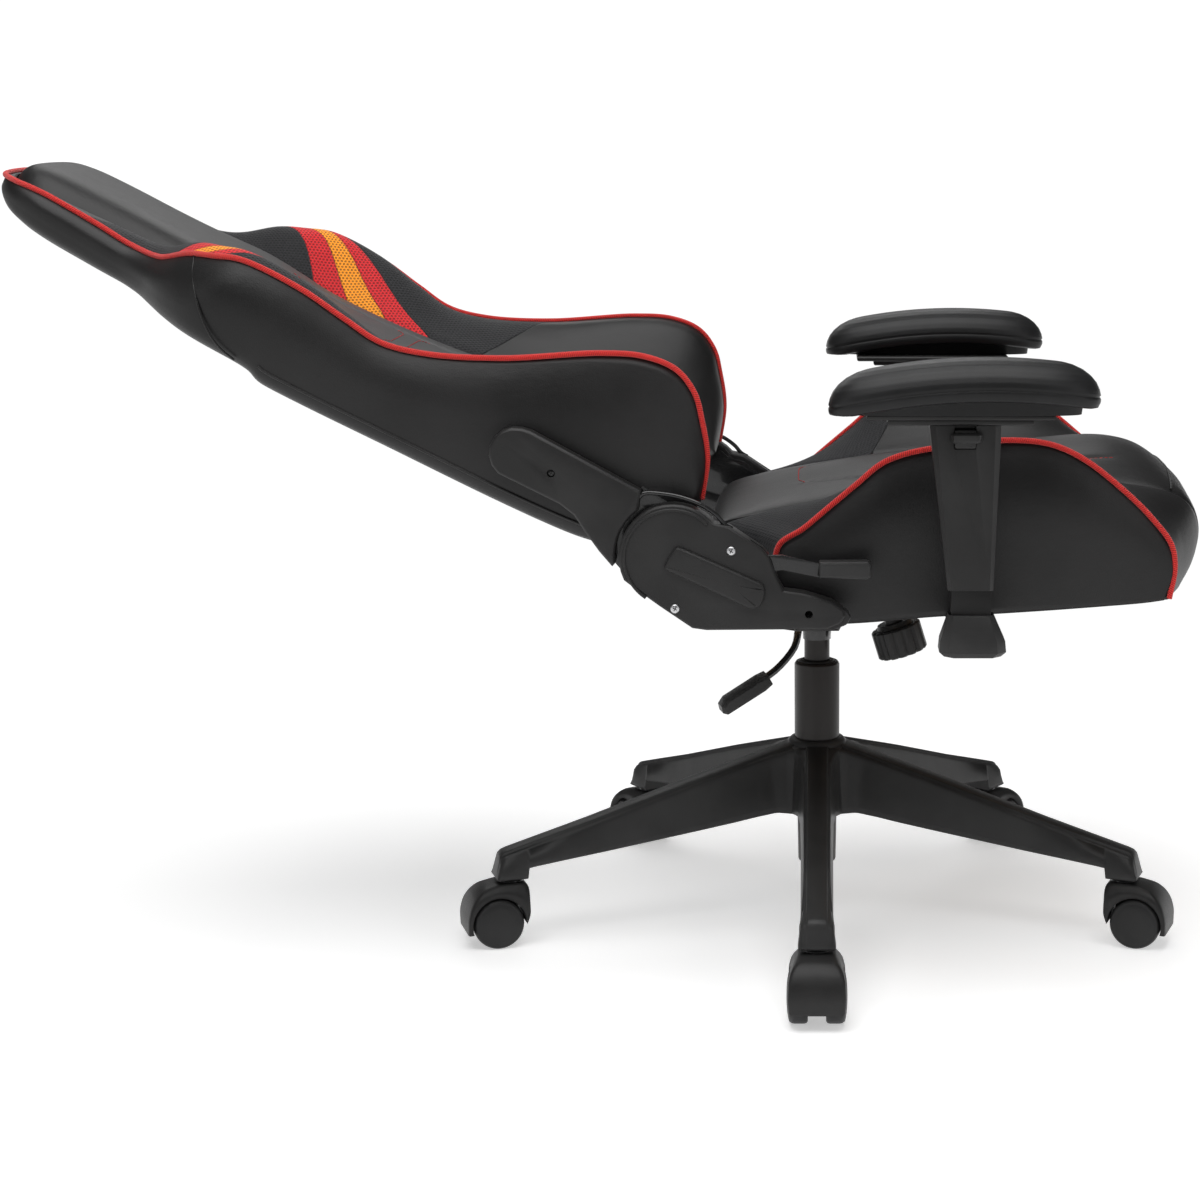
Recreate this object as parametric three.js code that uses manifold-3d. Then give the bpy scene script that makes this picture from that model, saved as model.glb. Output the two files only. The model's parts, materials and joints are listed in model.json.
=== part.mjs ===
/* A reclining gaming chair on a five-star base. Millimetres.
   It is drawn in a Y-up frame with its gas column on the Y axis: x runs forwards, y up
   and z to the sitter's right. The last lines turn that into +Z up, front towards -Y. */
import * as THREE from 'three';
import { mergeVertices } from 'three/addons/utils/BufferGeometryUtils.js';
import Module from 'manifold-3d';

const wasm = await Module();
wasm.setup();

// ---- Driving dimensions ----
const COLUMN = { x: 10, y: -215 };   // the column's place in the part's own frame
const GAP = 0.3;                     // clearance between neighbouring pieces
const FIT = 0.5;                     // clearance around a moving piece

const LEGS = 5;
const CASTER_CIRCLE = 350;           // radius of the caster stems
const WHEEL_RADIUS = 27.5;
const WHEEL_WIDTH = 20;
const CASTER_WIDTH = 58;
const CASTER_TRAIL = 17.5;
const STEM_RADIUS = 5.5;

const HUB_TOP = 203;
const HUB_BOTTOM = 120;
const COLUMN_RADIUS = 25;
const COLUMN_TOP = 290;
const COLUMN_BOTTOM = 61;
const PISTON_RADIUS = 14;
const SOCKET_BOTTOM = 315;

const TILT_AXIS = { x: 35, y: 367 };
const SEAT_FLOOR = 390;              // underside of the seat board
const SEAT_BOARD = 10;
const CUSHION_HALF = 150;            // half width of the centre cushions
const SIDE_HALF = 250;               // half width over the side bolsters

const RECLINE_AXIS = { x: -143, y: 454 };
const RECLINE = 64;                  // degrees back from upright, as drawn
const SEAT_PLATE_Z = 255.5;          // inner face of the recliner's seat plate
const PLATE = 5;
const COVER_FACE = 291;              // outer face of the recliner covers
const DISC_RADIUS = 53.5;

const ARM_Z = 311;
const SLEEVE_TOP = 590;
const PAD_FLOOR = 602;

// ---- Materials ----
const matte = (color, roughness, metalness = 0) =>
  new THREE.MeshStandardMaterial({ color, roughness, metalness });
const LEATHER = matte(0x1d1d1f, 0.5);
const PLASTIC = matte(0x1f1f20, 0.7);
const RUBBER = matte(0x151515, 0.85);
const PAINTED = matte(0x111112, 0.35, 0.6);
const TUBE_STEEL = matte(0x2a2421, 0.4, 0.8);
const BOARD = matte(0x6b5236, 0.8);
const STEEL = matte(0x9a9a9a, 0.35, 0.9);

// ---- Geometry helpers ----
const radians = THREE.MathUtils.degToRad;
const vectors = (points) => points.map(([x, y]) => new THREE.Vector2(x, y));
const polygon = (points) => new THREE.Shape(vectors(points));

/** Points evenly spaced on a smooth curve through a few others. */
function curve(points, count) {
  return new THREE.SplineCurve(vectors(points)).getPoints(count - 1).map((p) => [p.x, p.y]);
}

/** Points of an arc about a centre, from one angle to another in degrees. */
function arc([x, y], radius, from, to, count) {
  return Array.from({ length: count }, (_, i) => {
    const angle = radians(from + ((to - from) * i) / (count - 1));
    return [x + radius * Math.cos(angle), y + radius * Math.sin(angle)];
  });
}

/** A flat shape given thickness along z, with its long edges bevelled. */
function prism(shape, from, to, bevel = 0) {
  const geometry = new THREE.ExtrudeGeometry(Array.isArray(shape) ? polygon(shape) : shape, {
    depth: to - from - 2 * bevel,
    bevelEnabled: bevel > 0,
    bevelThickness: bevel,
    bevelSize: bevel,
    bevelOffset: -bevel,
    bevelSegments: 1,
    curveSegments: 6,
  });
  return geometry.translate(0, 0, from + bevel);
}

/** A prism that stands upright: the shape is a plan seen from above, [x, z]. */
function slab(points, bottom, top, bevel = 0) {
  const flipped = points.map(([x, z]) => [x, -z]).reverse();
  return prism(flipped, bottom, top, bevel).rotateX(-Math.PI / 2);
}

const cylinder = (radius, from, to, sides = 20, top = radius) =>
  new THREE.CylinderGeometry(top, radius, to - from, sides).translate(0, (from + to) / 2, 0);

/** A cylinder along z about the point [x, y]. */
const crossPin = ([x, y], radius, from, to, sides = 20) =>
  cylinder(radius, from, to, sides).rotateX(Math.PI / 2).translate(x, y, 0);

function lathe(profile, sides = 24) {
  return new THREE.LatheGeometry(vectors(profile), sides);
}

/** A round bar with an even number of sides, swept along a rounded path. */
function bar(points, radius, steps, sides = 8) {
  const path = new THREE.CatmullRomCurve3(
    points.map(([x, y, z]) => new THREE.Vector3(x, y, z)), false, 'centripetal');
  const section = new THREE.Shape();
  section.absarc(0, 0, radius, 0, 2 * Math.PI);
  return new THREE.ExtrudeGeometry(section, { steps, curveSegments: sides / 2, extrudePath: path });
}

/** A body skinned over outlines of equal point counts, laid across z from low to high. */
function loft(sections) {
  const clockwise = THREE.ShapeUtils.area(vectors(sections[0].outline)) < 0;
  const rings = sections.map(({ z, outline }) => ({ z, outline: clockwise ? [...outline].reverse() : outline }));
  const count = rings[0].outline.length;
  const positions = rings.flatMap(({ z, outline }) => outline.flatMap(([x, y]) => [x, y, z]));
  const faces = [];
  for (let r = 0; r + 1 < rings.length; r++) {
    for (let i = 0; i < count; i++) {
      const a = r * count + i;
      const b = r * count + ((i + 1) % count);
      faces.push(a, b, b + count, a, b + count, a + count);
    }
  }
  const cap = (ring, offset, flip) => {
    for (const [a, b, c] of THREE.ShapeUtils.triangulateShape(vectors(ring.outline), [])) {
      faces.push(...(flip ? [a, c, b] : [a, b, c]).map((i) => i + offset));
    }
  };
  cap(rings[0], 0, true);
  cap(rings.at(-1), (rings.length - 1) * count, false);
  const geometry = new THREE.BufferGeometry();
  geometry.setAttribute('position', new THREE.Float32BufferAttribute(positions, 3));
  return geometry.setIndex(faces);
}

/** A loft that stands upright: outlines are plans seen from above, [x, z], at heights y. */
function tower(levels) {
  const rings = levels.map(({ y, plan }) => ({ z: y, outline: plan.map(([x, z]) => [x, -z]) }));
  return loft(rings).rotateX(-Math.PI / 2);
}

/** A geometry as a manifold-3d solid. */
function solid(geometry) {
  const bare = geometry.clone();
  bare.deleteAttribute('normal');
  bare.deleteAttribute('uv');
  const merged = mergeVertices(bare, 1e-3);
  const body = new wasm.Manifold(new wasm.Mesh({
    numProp: 3,
    vertProperties: new Float32Array(merged.attributes.position.array),
    triVerts: new Uint32Array(merged.index.array),
  }));
  if (body.isEmpty()) throw new Error('a shape is not a closed solid');
  return body;
}

function geometryOf(body) {
  const mesh = body.getMesh();
  const geometry = new THREE.BufferGeometry();
  geometry.setAttribute('position', new THREE.Float32BufferAttribute(mesh.vertProperties, 3));
  return geometry.setIndex(Array.from(mesh.triVerts));
}

const joined = (...shapes) =>
  geometryOf(shapes.map(solid).reduce((whole, piece) => whole.add(piece)));
const cut = (shape, ...tools) =>
  geometryOf(tools.map(solid).reduce((whole, tool) => whole.subtract(tool), solid(shape)));
const common = (...shapes) =>
  geometryOf(shapes.map(solid).reduce((whole, piece) => whole.intersect(piece)));

/** The other hand of a piece, reflected to the chair's left side. */
function mirrored(geometry) {
  const twin = mergeVertices(geometry.clone().deleteAttribute('normal').deleteAttribute('uv'), 1e-3);
  const index = Array.from(twin.index.array);
  for (let i = 0; i < index.length; i += 3) [index[i + 1], index[i + 2]] = [index[i + 2], index[i + 1]];
  return twin.scale(1, 1, -1).setIndex(index);
}

function piece(name, geometry, material) {
  const mesh = new THREE.Mesh(geometry, material);
  mesh.name = name;
  return mesh;
}

/** The right-hand piece and its mirror image. */
const pair = (name, geometry, material) => [
  piece(`${name}_right`, geometry, material),
  piece(`${name}_left`, mirrored(geometry), material),
];

function group(...children) {
  const holder = new THREE.Group();
  holder.add(...children);
  return holder;
}

// ---- Star base and gas column ----
/** One hollow leg along +z: its sections narrow and drop from the hub to the caster boss. */
function leg() {
  const stations = [
    { z: 18, top: 200, bottom: 122, crown: 13, foot: 21 },
    { z: 60, top: 186, bottom: 119, crown: 12.5, foot: 19 },
    { z: 332, top: 105, bottom: 80, crown: 12, foot: 17 },
    { z: 366, top: 97, bottom: 76, crown: 9, foot: 15 },
  ];
  const section = ({ top, bottom, crown, foot }, inset = 0) => [
    [-foot + inset, bottom - inset], [foot - inset, bottom - inset], [foot - 2 - inset, bottom + 14 - inset],
    [crown + 1 - inset, top - 5 - inset], [crown - 4, top - inset],
    [4 - crown, top - inset], [-crown - 1 + inset, top - 5 - inset], [2 - foot + inset, bottom + 14 - inset],
  ];
  const outer = loft(stations.map((s) => ({ z: s.z, outline: section(s) })));
  const hollow = [
    { z: 58, top: 180, bottom: 119, crown: 12, foot: 19 },
    { z: 322, top: 99, bottom: 81, crown: 12, foot: 17 },
  ];
  return cut(outer, loft(hollow.map((s) => ({ z: s.z, outline: section(s, 4) }))));
}

function starBase() {
  const spread = (shape, i) => shape.clone().rotateY((2 * Math.PI * i) / LEGS);
  const hub = lathe([[0, HUB_BOTTOM], [30, HUB_BOTTOM], [33, 126], [33, 192], [31, HUB_TOP], [0, HUB_TOP]], 30);
  const boss = lathe([[0, 72], [18, 72], [20, 75], [18, 97], [15, 101], [0, 101]], 16)
    .translate(0, 0, CASTER_CIRCLE);
  const stemHole = cylinder(STEM_RADIUS + FIT, 60, 95, 12).translate(0, 0, CASTER_CIRCLE);
  const every = (shape) => Array.from({ length: LEGS }, (_, i) => spread(shape, i));
  const body = joined(hub, ...every(leg()), ...every(boss));
  const bore = cylinder(COLUMN_RADIUS - 3 + GAP, HUB_BOTTOM - 1, HUB_TOP + 1, 30, COLUMN_RADIUS + GAP);
  return cut(body, bore, ...every(stemHole));
}

/** Outer tube, tapered into the hub and open at the top, with its bush and its piston. */
function gasSpring() {
  const inner = COLUMN_RADIUS - 5;
  const tube = lathe([
    [3, COLUMN_BOTTOM], [20, COLUMN_BOTTOM], [21, COLUMN_BOTTOM + 2], [COLUMN_RADIUS - 3, HUB_BOTTOM],
    [COLUMN_RADIUS, HUB_TOP], [COLUMN_RADIUS, COLUMN_TOP - 3], [COLUMN_RADIUS - 2, COLUMN_TOP],
    [inner, COLUMN_TOP], [inner, 215], [inner - 4, 130], [inner - 4, COLUMN_BOTTOM + 6],
    [3, COLUMN_BOTTOM + 6], [3, COLUMN_BOTTOM],
  ], 24);
  const slide = PISTON_RADIUS + GAP;
  const bush = lathe([
    [slide, 230], [inner - GAP, 230], [inner - GAP, COLUMN_TOP + 1], [slide + 2, COLUMN_TOP + 2],
    [slide, COLUMN_TOP + 1], [slide, 230],
  ], 24);
  const rod = lathe([
    [0, 155], [PISTON_RADIUS - 1, 155], [PISTON_RADIUS, 157], [PISTON_RADIUS, SOCKET_BOTTOM + 3],
    [PISTON_RADIUS - 1, 345], [5, 345], [5, 352], [0, 352],
  ], 24);
  return { tube, bush, rod };
}

function caster(i) {
  const axle = [CASTER_TRAIL, WHEEL_RADIUS];
  const half = CASTER_WIDTH / 2;
  const shell = prism([
    ...arc(axle, WHEEL_RADIUS + 5, -12, 150, 9),
    ...arc(axle, WHEEL_RADIUS + 2.2, 150, -12, 9),
  ], -half, half);
  const web = prism([...arc(axle, WHEEL_RADIUS + 4, -12, 150, 9), [0, 20], [12, 16], [34, 14]],
    -(half - WHEEL_WIDTH - 0.8), half - WHEEL_WIDTH - 0.8);
  const stem = joined(
    cylinder(STEM_RADIUS, 40, 92, 12),
    lathe([[0, 40], [9, 40], [9, 67.5], [7, 70.5], [0, 70.5]], 14),
  );
  const pin = crossPin(axle, 4, 3 - half, half - 3, 10);
  const hood = joined(shell, web, stem, pin);
  const hubRadius = 4 + GAP;
  const sides = 24;
  const tread = WHEEL_RADIUS / Math.cos(Math.PI / sides);   // its flats lie at the wheel's radius
  const rim = lathe([
    [hubRadius, 0], [tread, 0], [tread, WHEEL_WIDTH - 2.5], [tread - 2.5, WHEEL_WIDTH],
    [hubRadius, WHEEL_WIDTH - 1], [hubRadius, 0],
  ], sides).rotateY(Math.PI / sides).rotateX(Math.PI / 2);
  const outward = rim.clone().translate(...axle, half - WHEEL_WIDTH);
  const holder = group(
    piece(`caster_hood_${i + 1}`, hood, PLASTIC),
    piece(`wheel_a_${i + 1}`, outward, RUBBER),
    piece(`wheel_b_${i + 1}`, mirrored(outward), RUBBER),
  );
  const turn = (2 * Math.PI * i) / LEGS;
  holder.rotation.y = turn - Math.PI / 2;
  holder.position.set(CASTER_CIRCLE * Math.sin(turn), 0, CASTER_CIRCLE * Math.cos(turn));
  return holder;
}

function base() {
  const { tube, bush, rod } = gasSpring();
  return group(
    piece('star_base', starBase(), PLASTIC),
    piece('gas_column', tube, TUBE_STEEL),
    piece('column_bush', bush, PLASTIC),
    piece('gas_piston', rod, TUBE_STEEL),
    ...Array.from({ length: LEGS }, (_, i) => caster(i)),
  );
}

// ---- Tilt mechanism under the seat ----
const KNOB = { x: 86, y: 331, lean: 17, radius: 28, height: 34 };
const LEVER = { x: -20, y: 352, z: 46 };

/** Turns a shape standing on the knob's top face into its leaning place. */
const onKnobAxis = (geometry) => geometry.rotateZ(radians(KNOB.lean)).translate(KNOB.x, KNOB.y, 0);

function tiltHousing() {
  const half = 42;
  const body = prism([
    [-62, 336], [-24, 331], [24, 331], [30, 343], [62, 345], [116, 352], [116, 372],
    [70, 380], [10, 378], [-62, 357],
  ], -half, half, 2);
  const socket = lathe([[0, SOCKET_BOTTOM], [15.5, SOCKET_BOTTOM], [16, 326], [21, 332], [0, 332]], 24);
  const taper = cylinder(PISTON_RADIUS + GAP, SOCKET_BOTTOM - 1, 346, 24, PISTON_RADIUS + GAP);
  const valve = cylinder(6, 340, 385, 12);
  const rear = prism([[-52, 343], [-26, 343], [-26, 390], [-52, 390]], -half + 5, half - 5);
  const spring = onKnobAxis(cylinder(17, 18, 70, 18));
  const bolt = onKnobAxis(cylinder(6 + GAP, -10, 30, 12));
  const pin = crossPin([TILT_AXIS.x, TILT_AXIS.y], 6 + GAP, -half - 1, half + 1, 16);
  const leverHole = crossPin([LEVER.x, LEVER.y], 5 + FIT, 30, half + 1, 12);
  return cut(joined(body, socket), taper, valve, rear, spring, bolt, pin, leverHole);
}

/** Top plate with side ears that hang on the tilt pin. */
function seatPlate() {
  const top = SEAT_FLOOR - GAP;
  const plate = slab([[-105, -85], [118, -85], [118, 85], [-105, 85]], top - 4, top);
  const ear = (z) => prism([
    [TILT_AXIS.x - 26, top - 1], ...arc([TILT_AXIS.x, TILT_AXIS.y], 12, 190, 350, 7), [TILT_AXIS.x + 26, top - 1],
  ], z, z + 4);
  const valveHole = cylinder(8, top - 10, top + 5, 12);
  const pin = crossPin([TILT_AXIS.x, TILT_AXIS.y], 6 + GAP, -60, 60, 16);
  return cut(joined(plate, ear(43), ear(-47)), valveHole, pin);
}

function coilSpring() {
  const turns = 4.5;
  const radius = 12;
  const steps = Math.round(turns * 10);
  const points = Array.from({ length: steps + 1 }, (_, i) => {
    const angle = (2 * Math.PI * turns * i) / steps;
    return [radius * Math.cos(angle), 21 + (20 * i) / steps, radius * Math.sin(angle)];
  });
  return onKnobAxis(bar(points, 1.8, steps, 4));
}

function tensionKnob() {
  const ribs = 14;
  const grip = new THREE.Shape();
  for (let i = 0; i < ribs * 4; i++) {
    const angle = (2 * Math.PI * i) / (ribs * 4);
    const radius = KNOB.radius - (i % 4 === 0 ? 2.2 : 0);
    grip[i ? 'lineTo' : 'moveTo'](radius * Math.cos(angle), radius * Math.sin(angle));
  }
  const drum = prism(grip, -KNOB.height, -2, 2).rotateX(-Math.PI / 2);
  const neck = lathe([[0, -6], [22, -6], [19, 3], [10, 3], [10, 8], [6, 9], [6, 44], [0, 44]], 20);
  return onKnobAxis(joined(drum, neck));
}

function mechanism() {
  const sleeve = cut(
    joined(
      crossPin([LEVER.x, LEVER.y], 5, 32, 56, 12),
      prism(arc([LEVER.x, LEVER.y], 10, 0, 337.5, 16), 44, 56, 2),
      prism([[-26, 345], [-14, 345], [-14, 359], [-26, 359]], 55, 70),
    ),
    prism([[-23, 340], [-17, 340], [-17, 370], [-23, 370]], 57, 71),
  );
  const rod = joined(
    prism([[-22.6, 347], [-17.4, 347], [-17.4, 357], [-22.6, 357]], 57.5, 74),
    bar([[-20, 352, 73], [-20, 352, 120], [-20, 351, 150], [-24, 338, 168], [-40, 320, 180], [-56, 309, 190]], 4, 18),
  );
  const blade = prism([
    [0, -7], [10, -8], [50, -7], [58, -3], [60, 4], [56, 8], [10, 7], [0, 5],
  ], -13, 13, 3);
  const paddle = cut(
    blade.rotateZ(radians(180 + 29)).rotateY(radians(14)).translate(-50, 311, 192),
    bar([[-24, 338, 168], [-40, 320, 180], [-56, 309, 190], [-72, 298, 200]], 4 + GAP, 10),
  );
  return group(
    piece('tilt_housing', tiltHousing(), PAINTED),
    piece('tilt_pivot_pin', crossPin([TILT_AXIS.x, TILT_AXIS.y], 6, -50, 50, 16), STEEL),
    piece('tension_spring', coilSpring(), STEEL),
    piece('tension_knob', tensionKnob(), PLASTIC),
    piece('lever_sleeve', sleeve, PAINTED),
    piece('height_lever_rod', rod, PAINTED),
    piece('height_lever_paddle', paddle, PLASTIC),
    piece('seat_plate', seatPlate(), PAINTED),
  );
}

// ---- Seat ----
/** Top line of the centre cushion from its rear end to its front lip. */
const SEAT_TOP = [
  [-113, 405], [-116, 440], [-113, 464], [-97, 480], [-66, 491], [-20, 501], [20, 506], [100, 513],
  [180, 520], [260, 527], [305, 530], [342, 525], [372, 508], [395, 484], [404, 464], [403, 444], [396, 422], [384, 404],
];
/** Top line of the side bolsters along their piped edge. */
const BOLSTER_TOP = [
  [-36, 402], [-44, 430], [-40, 459], [-16, 476], [14, 500], [40, 521], [64, 541], [88, 551],
  [130, 559], [190, 565], [233, 561], [267, 546], [307, 515], [335, 488], [357, 459], [361, 435], [356, 405],
];

/** The same line where a bolster grows out of the centre cushion. */
const BOLSTER_ROOT = [
  [-62, 402], [-66, 430], [-62, 450], [-46, 464], [-22, 478], [10, 493], [40, 505], [100, 513],
  [180, 520], [260, 527], [305, 530], [342, 525], [372, 508], [395, 484], [404, 464], [403, 444],
  [396, 422], [384, 404],
];

const blend = (a, b, k) => a.map(([x, y], i) => [x + (b[i][0] - x) * k, y + (b[i][1] - y) * k]);

function seatCushions() {
  const count = 30;
  const centre = curve(SEAT_TOP, count);
  const edge = curve(BOLSTER_TOP, count);
  const root = curve(BOLSTER_ROOT, count);
  const floor = SEAT_FLOOR + SEAT_BOARD + GAP;
  const close = (line, bottom) => [...line].reverse().map(([x, y]) => [x, Math.max(y, bottom)]);
  const plan = slab([
    [-130, -SIDE_HALF - 5], [300, -SIDE_HALF - 5], [345, -SIDE_HALF + 6], [372, -205], [396, -130], [405, -50],
    [405, 50], [396, 130], [372, 205], [345, SIDE_HALF - 6], [300, SIDE_HALF + 5], [-130, SIDE_HALF + 5],
  ], 300, 700);
  const middle = loft([-CUSHION_HALF, CUSHION_HALF].map((z) => ({ z, outline: close(centre, floor) })));
  const steps = [[CUSHION_HALF + GAP, 0.02], [176, 0.3], [205, 0.68], [230, 0.95], [243, 1], [SIDE_HALF, 0.97]];
  const side = loft(steps.map(([z, k]) => ({ z, outline: close(blend(root, edge, k), SEAT_FLOOR + GAP) })));
  return { middle: common(middle, plan), side: common(side, plan) };
}

function seatBoard() {
  return slab([
    [-105, -CUSHION_HALF + 1], [360, -CUSHION_HALF + 1], [360, CUSHION_HALF - 1], [-105, CUSHION_HALF - 1],
  ], SEAT_FLOOR, SEAT_FLOOR + SEAT_BOARD, 1);
}

/** Flat steel bracket under the seat board that turns up into the armrest's inner post. */
function armBracket() {
  const flat = slab([[128, 88], [176, 88], [172, ARM_Z + 8], [132, ARM_Z + 8]], SEAT_FLOOR - GAP - 6, SEAT_FLOOR - GAP);
  const post = slab([
    [132, ARM_Z - 8], [171, ARM_Z - 8], [171, ARM_Z + 8], [132, ARM_Z + 8],
  ], SEAT_FLOOR - 6 - GAP, 558, 1);
  return joined(flat, post);
}

/** Plan of a box with cut corners around the armrest's centre line. */
const boxPlan = (rear, front, half, corner) => [
  [rear + corner, ARM_Z - half], [front - corner, ARM_Z - half], [front, ARM_Z - half + corner],
  [front, ARM_Z + half - corner], [front - corner, ARM_Z + half], [rear + corner, ARM_Z + half],
  [rear, ARM_Z + half - corner], [rear, ARM_Z - half + corner],
];

/** Flared boot over the bracket's elbow. */
function armFoot() {
  const boot = tower([
    { y: 361, plan: boxPlan(125, 181, 20, 9) }, { y: 366, plan: boxPlan(120, 186, 23, 9) },
    { y: 377, plan: boxPlan(121, 185, 23, 9) }, { y: 402, plan: boxPlan(129, 174, 13, 5) },
  ]);
  return cut(boot,
    tower([{ y: 370, plan: boxPlan(130, 173, 8.4, 1) }, { y: 410, plan: boxPlan(130, 173, 8.4, 1) }]),
    slab([[126, 280], [178, 280], [178, ARM_Z], [126, ARM_Z]], SEAT_FLOOR - 7, SEAT_FLOOR + 1));
}

// ---- Recliner ----
const PIVOT = [RECLINE_AXIS.x, RECLINE_AXIS.y];
const LATCH = [-58, 447];            // pivot of the recline lever

/** Outline of the seat-side recliner cover, which the seat plate follows further in. */
function coverOutline(inset) {
  const disc = arc(PIVOT, DISC_RADIUS - inset, 40, 205, 18);
  return [
    ...disc,
    [-182 + inset, 424], [-156 + inset / 2, 405 + inset], [-124 + inset / 2, 383 + inset], [-110, 381 + inset],
    [10 - inset, 382 + inset], [24 - inset, 388 + inset], [28 - inset, 395], [26 - inset, 402 - inset],
    [14, 410 - inset], [-12, 418 - inset], [-33 - inset, 421 - inset], [-38 - inset, 430], [-47 - inset, 454 - inset],
    [-54 - inset, 463 - inset], [-87, 485 - inset],
  ];
}

function recliner() {
  const plateOut = SEAT_PLATE_Z + PLATE;
  const hole = (point, radius, from, to) => crossPin(point, radius, from, to, 14);
  const plate = cut(
    prism(coverOutline(6), SEAT_PLATE_Z, plateOut),
    hole(PIVOT, 7 + GAP, 250, 262), hole(LATCH, 5 + GAP, 250, 262));
  const pin = joined(
    crossPin(PIVOT, 7, SEAT_PLATE_Z - 1, COVER_FACE - 14, 18),
    crossPin(PIVOT, 15, plateOut + 2 * GAP + PLATE + GAP, COVER_FACE - 14, 18));
  const outer = prism(coverOutline(0), plateOut + 2 * GAP + PLATE + GAP, COVER_FACE, 2);
  const recess = prism([
    ...arc(PIVOT, DISC_RADIUS - 4, 40, 205, 12),
    [-174, 424], [-152, 411], [-122, 388], [4, 388], [18, 394], [-14, 412], [-38, 416], [-54, 456], [-92, 476],
  ], plateOut, COVER_FACE - 4);
  const slot = prism([[-66, 434], [-30, 428], [-30, 490], [-66, 480]], COVER_FACE - 12, COVER_FACE - 4);
  const shaft = hole(LATCH, 5 + FIT, plateOut, COVER_FACE - 4);
  const cover = cut(outer, recess, slot, shaft, hole([-8, 397], 4, 280, 300));
  return { plate, pin, cover };
}

function reclineLever() {
  const shaft = crossPin(LATCH, 5, SEAT_PLATE_Z - 1, COVER_FACE - 7, 14);
  const arm = prism([
    ...arc(LATCH, 9, 70, 260, 8), [-34, 441], [0, 434], [8, 434], [8, 448], [0, 448], [-34, 456],
  ], COVER_FACE - 10, COVER_FACE - 6);
  const pawl = prism([
    ...arc(LATCH, 9, -70, 110, 7), ...arc(PIVOT, 52, -2, -24, 6),
  ], SEAT_PLATE_Z + PLATE + 2 * GAP, SEAT_PLATE_Z + 2 * PLATE);
  return joined(shaft, arm, pawl);
}

function reclineGrip() {
  const grip = prism([
    [2, 434], [50, 432.5], [54, 435], [54, 448], [50, 450.5], [2, 450],
  ], COVER_FACE - 17, COVER_FACE + 3, 2);
  return cut(grip, prism([[-10, 433.5], [8.5, 433.5], [8.5, 448.5], [-10, 448.5]], COVER_FACE - 10.4, COVER_FACE - 5.6));
}

// ---- Back, drawn upright about the recline pivot: x forwards, y up ----
/** Front lines of the back, bottom to top: down its middle, and along the wings' piped edge. */
const BACK_MIDDLE = [
  [49, 58], [52, 110], [50, 180], [46, 260], [46, 340], [50, 420], [58, 490], [68, 530], [64, 565],
  [54, 600], [50, 640], [50, 700], [48, 750], [38, 776],
];
const WING_EDGE = [
  [59, -2], [101, 12], [133, 33], [155, 55], [165, 80], [161, 115], [147, 151], [99, 238],
  [69, 308], [60, 353], [66, 394], [75, 448], [76, 500], [60, 556], [40, 600],
];
const WING_ROOT = [
  [50, 30], [54, 44], [57, 60], [58, 80], [58, 105], [57, 135], [56, 165], [52, 238],
  [48, 308], [47, 353], [49, 394], [53, 448], [60, 500], [60, 556], [48, 600],
];
const BACK_REAR = [[8, 762], [-1, 732], [-10, 662], [-8, 587], [-15, 536], [-24, 461], [-30, 445], [-30, 58]];
const FRAME_TUBE = 11;

/** Path of the tube loop inside the back: from one recliner arm up, across and down again. */
const FRAME_PATH = [
  [4, 92, 260], [4, 92, 210], [6, 112, 166], [6, 180, CUSHION_HALF], [6, 330, CUSHION_HALF],
  [10, 480, CUSHION_HALF], [14, 555, 132], [16, 585, 80],
];

function backParts() {
  const path = [...FRAME_PATH, ...[...FRAME_PATH].reverse().map(([x, y, z]) => [x, y, -z])];
  const frame = bar(path, FRAME_TUBE, 34, 8);
  const channel = bar(path, FRAME_TUBE + 1, 34, 8);
  const front = curve(BACK_MIDDLE, 26);
  const headPlan = prism([
    [-CUSHION_HALF - 1, 0], [CUSHION_HALF + 1, 0], ...arc([92, 716], 60, 0, 90, 7), ...arc([-92, 716], 60, 90, 180, 7),
  ], -100, 200).rotateY(Math.PI / 2);
  const core = common(
    prism([...front, ...BACK_REAR], -CUSHION_HALF, CUSHION_HALF), headPlan);
  const rear = [[20, 612], [-8, 600], [-9, 560], [-15, 536], [-24, 461], [-30, 445], [-30, 90], [-20, 55], [20, 10]];
  const count = 30;
  const edge = curve(WING_EDGE, count);
  const root = curve(WING_ROOT, count);
  const steps = [[CUSHION_HALF + GAP, 0], [178, 0.32], [205, 0.68], [228, 0.93], [242, 1], [SIDE_HALF, 0.96]];
  const wing = loft(steps.map(([z, k]) => ({ z, outline: [...blend(root, edge, k), ...rear] })));
  const wingPlan = prism([
    [140, -20], [232, -20], [246, 30], [SIDE_HALF, 80], [246, 180], [241, 300], [246, 400], [SIDE_HALF, 470],
    [SIDE_HALF, 510], [243, 545], [222, 575], [190, 600], [140, 622],
  ], -300, 100).rotateY(-Math.PI / 2);
  return { frame, channel, core, wing, wingPlan };
}

/** Steel arm from the pivot up the side of the back. */
function backArm() {
  const z = SEAT_PLATE_Z + PLATE + GAP;
  const outline = [
    ...arc([0, 0], 51, 150, 390, 22), [49, 62], [49, 182], ...arc([27, 188], 20, 30, 150, 5), [1, 120],
    [-6, 100], [-28, 62],
  ];
  return cut(
    prism(outline, z, z + PLATE),
    crossPin([0, 0], 7 + FIT, z - 2, z + PLATE + 2, 18),
    crossPin([23, 144], 4.5, z - 2, z + PLATE + 2, 10));
}

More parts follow.
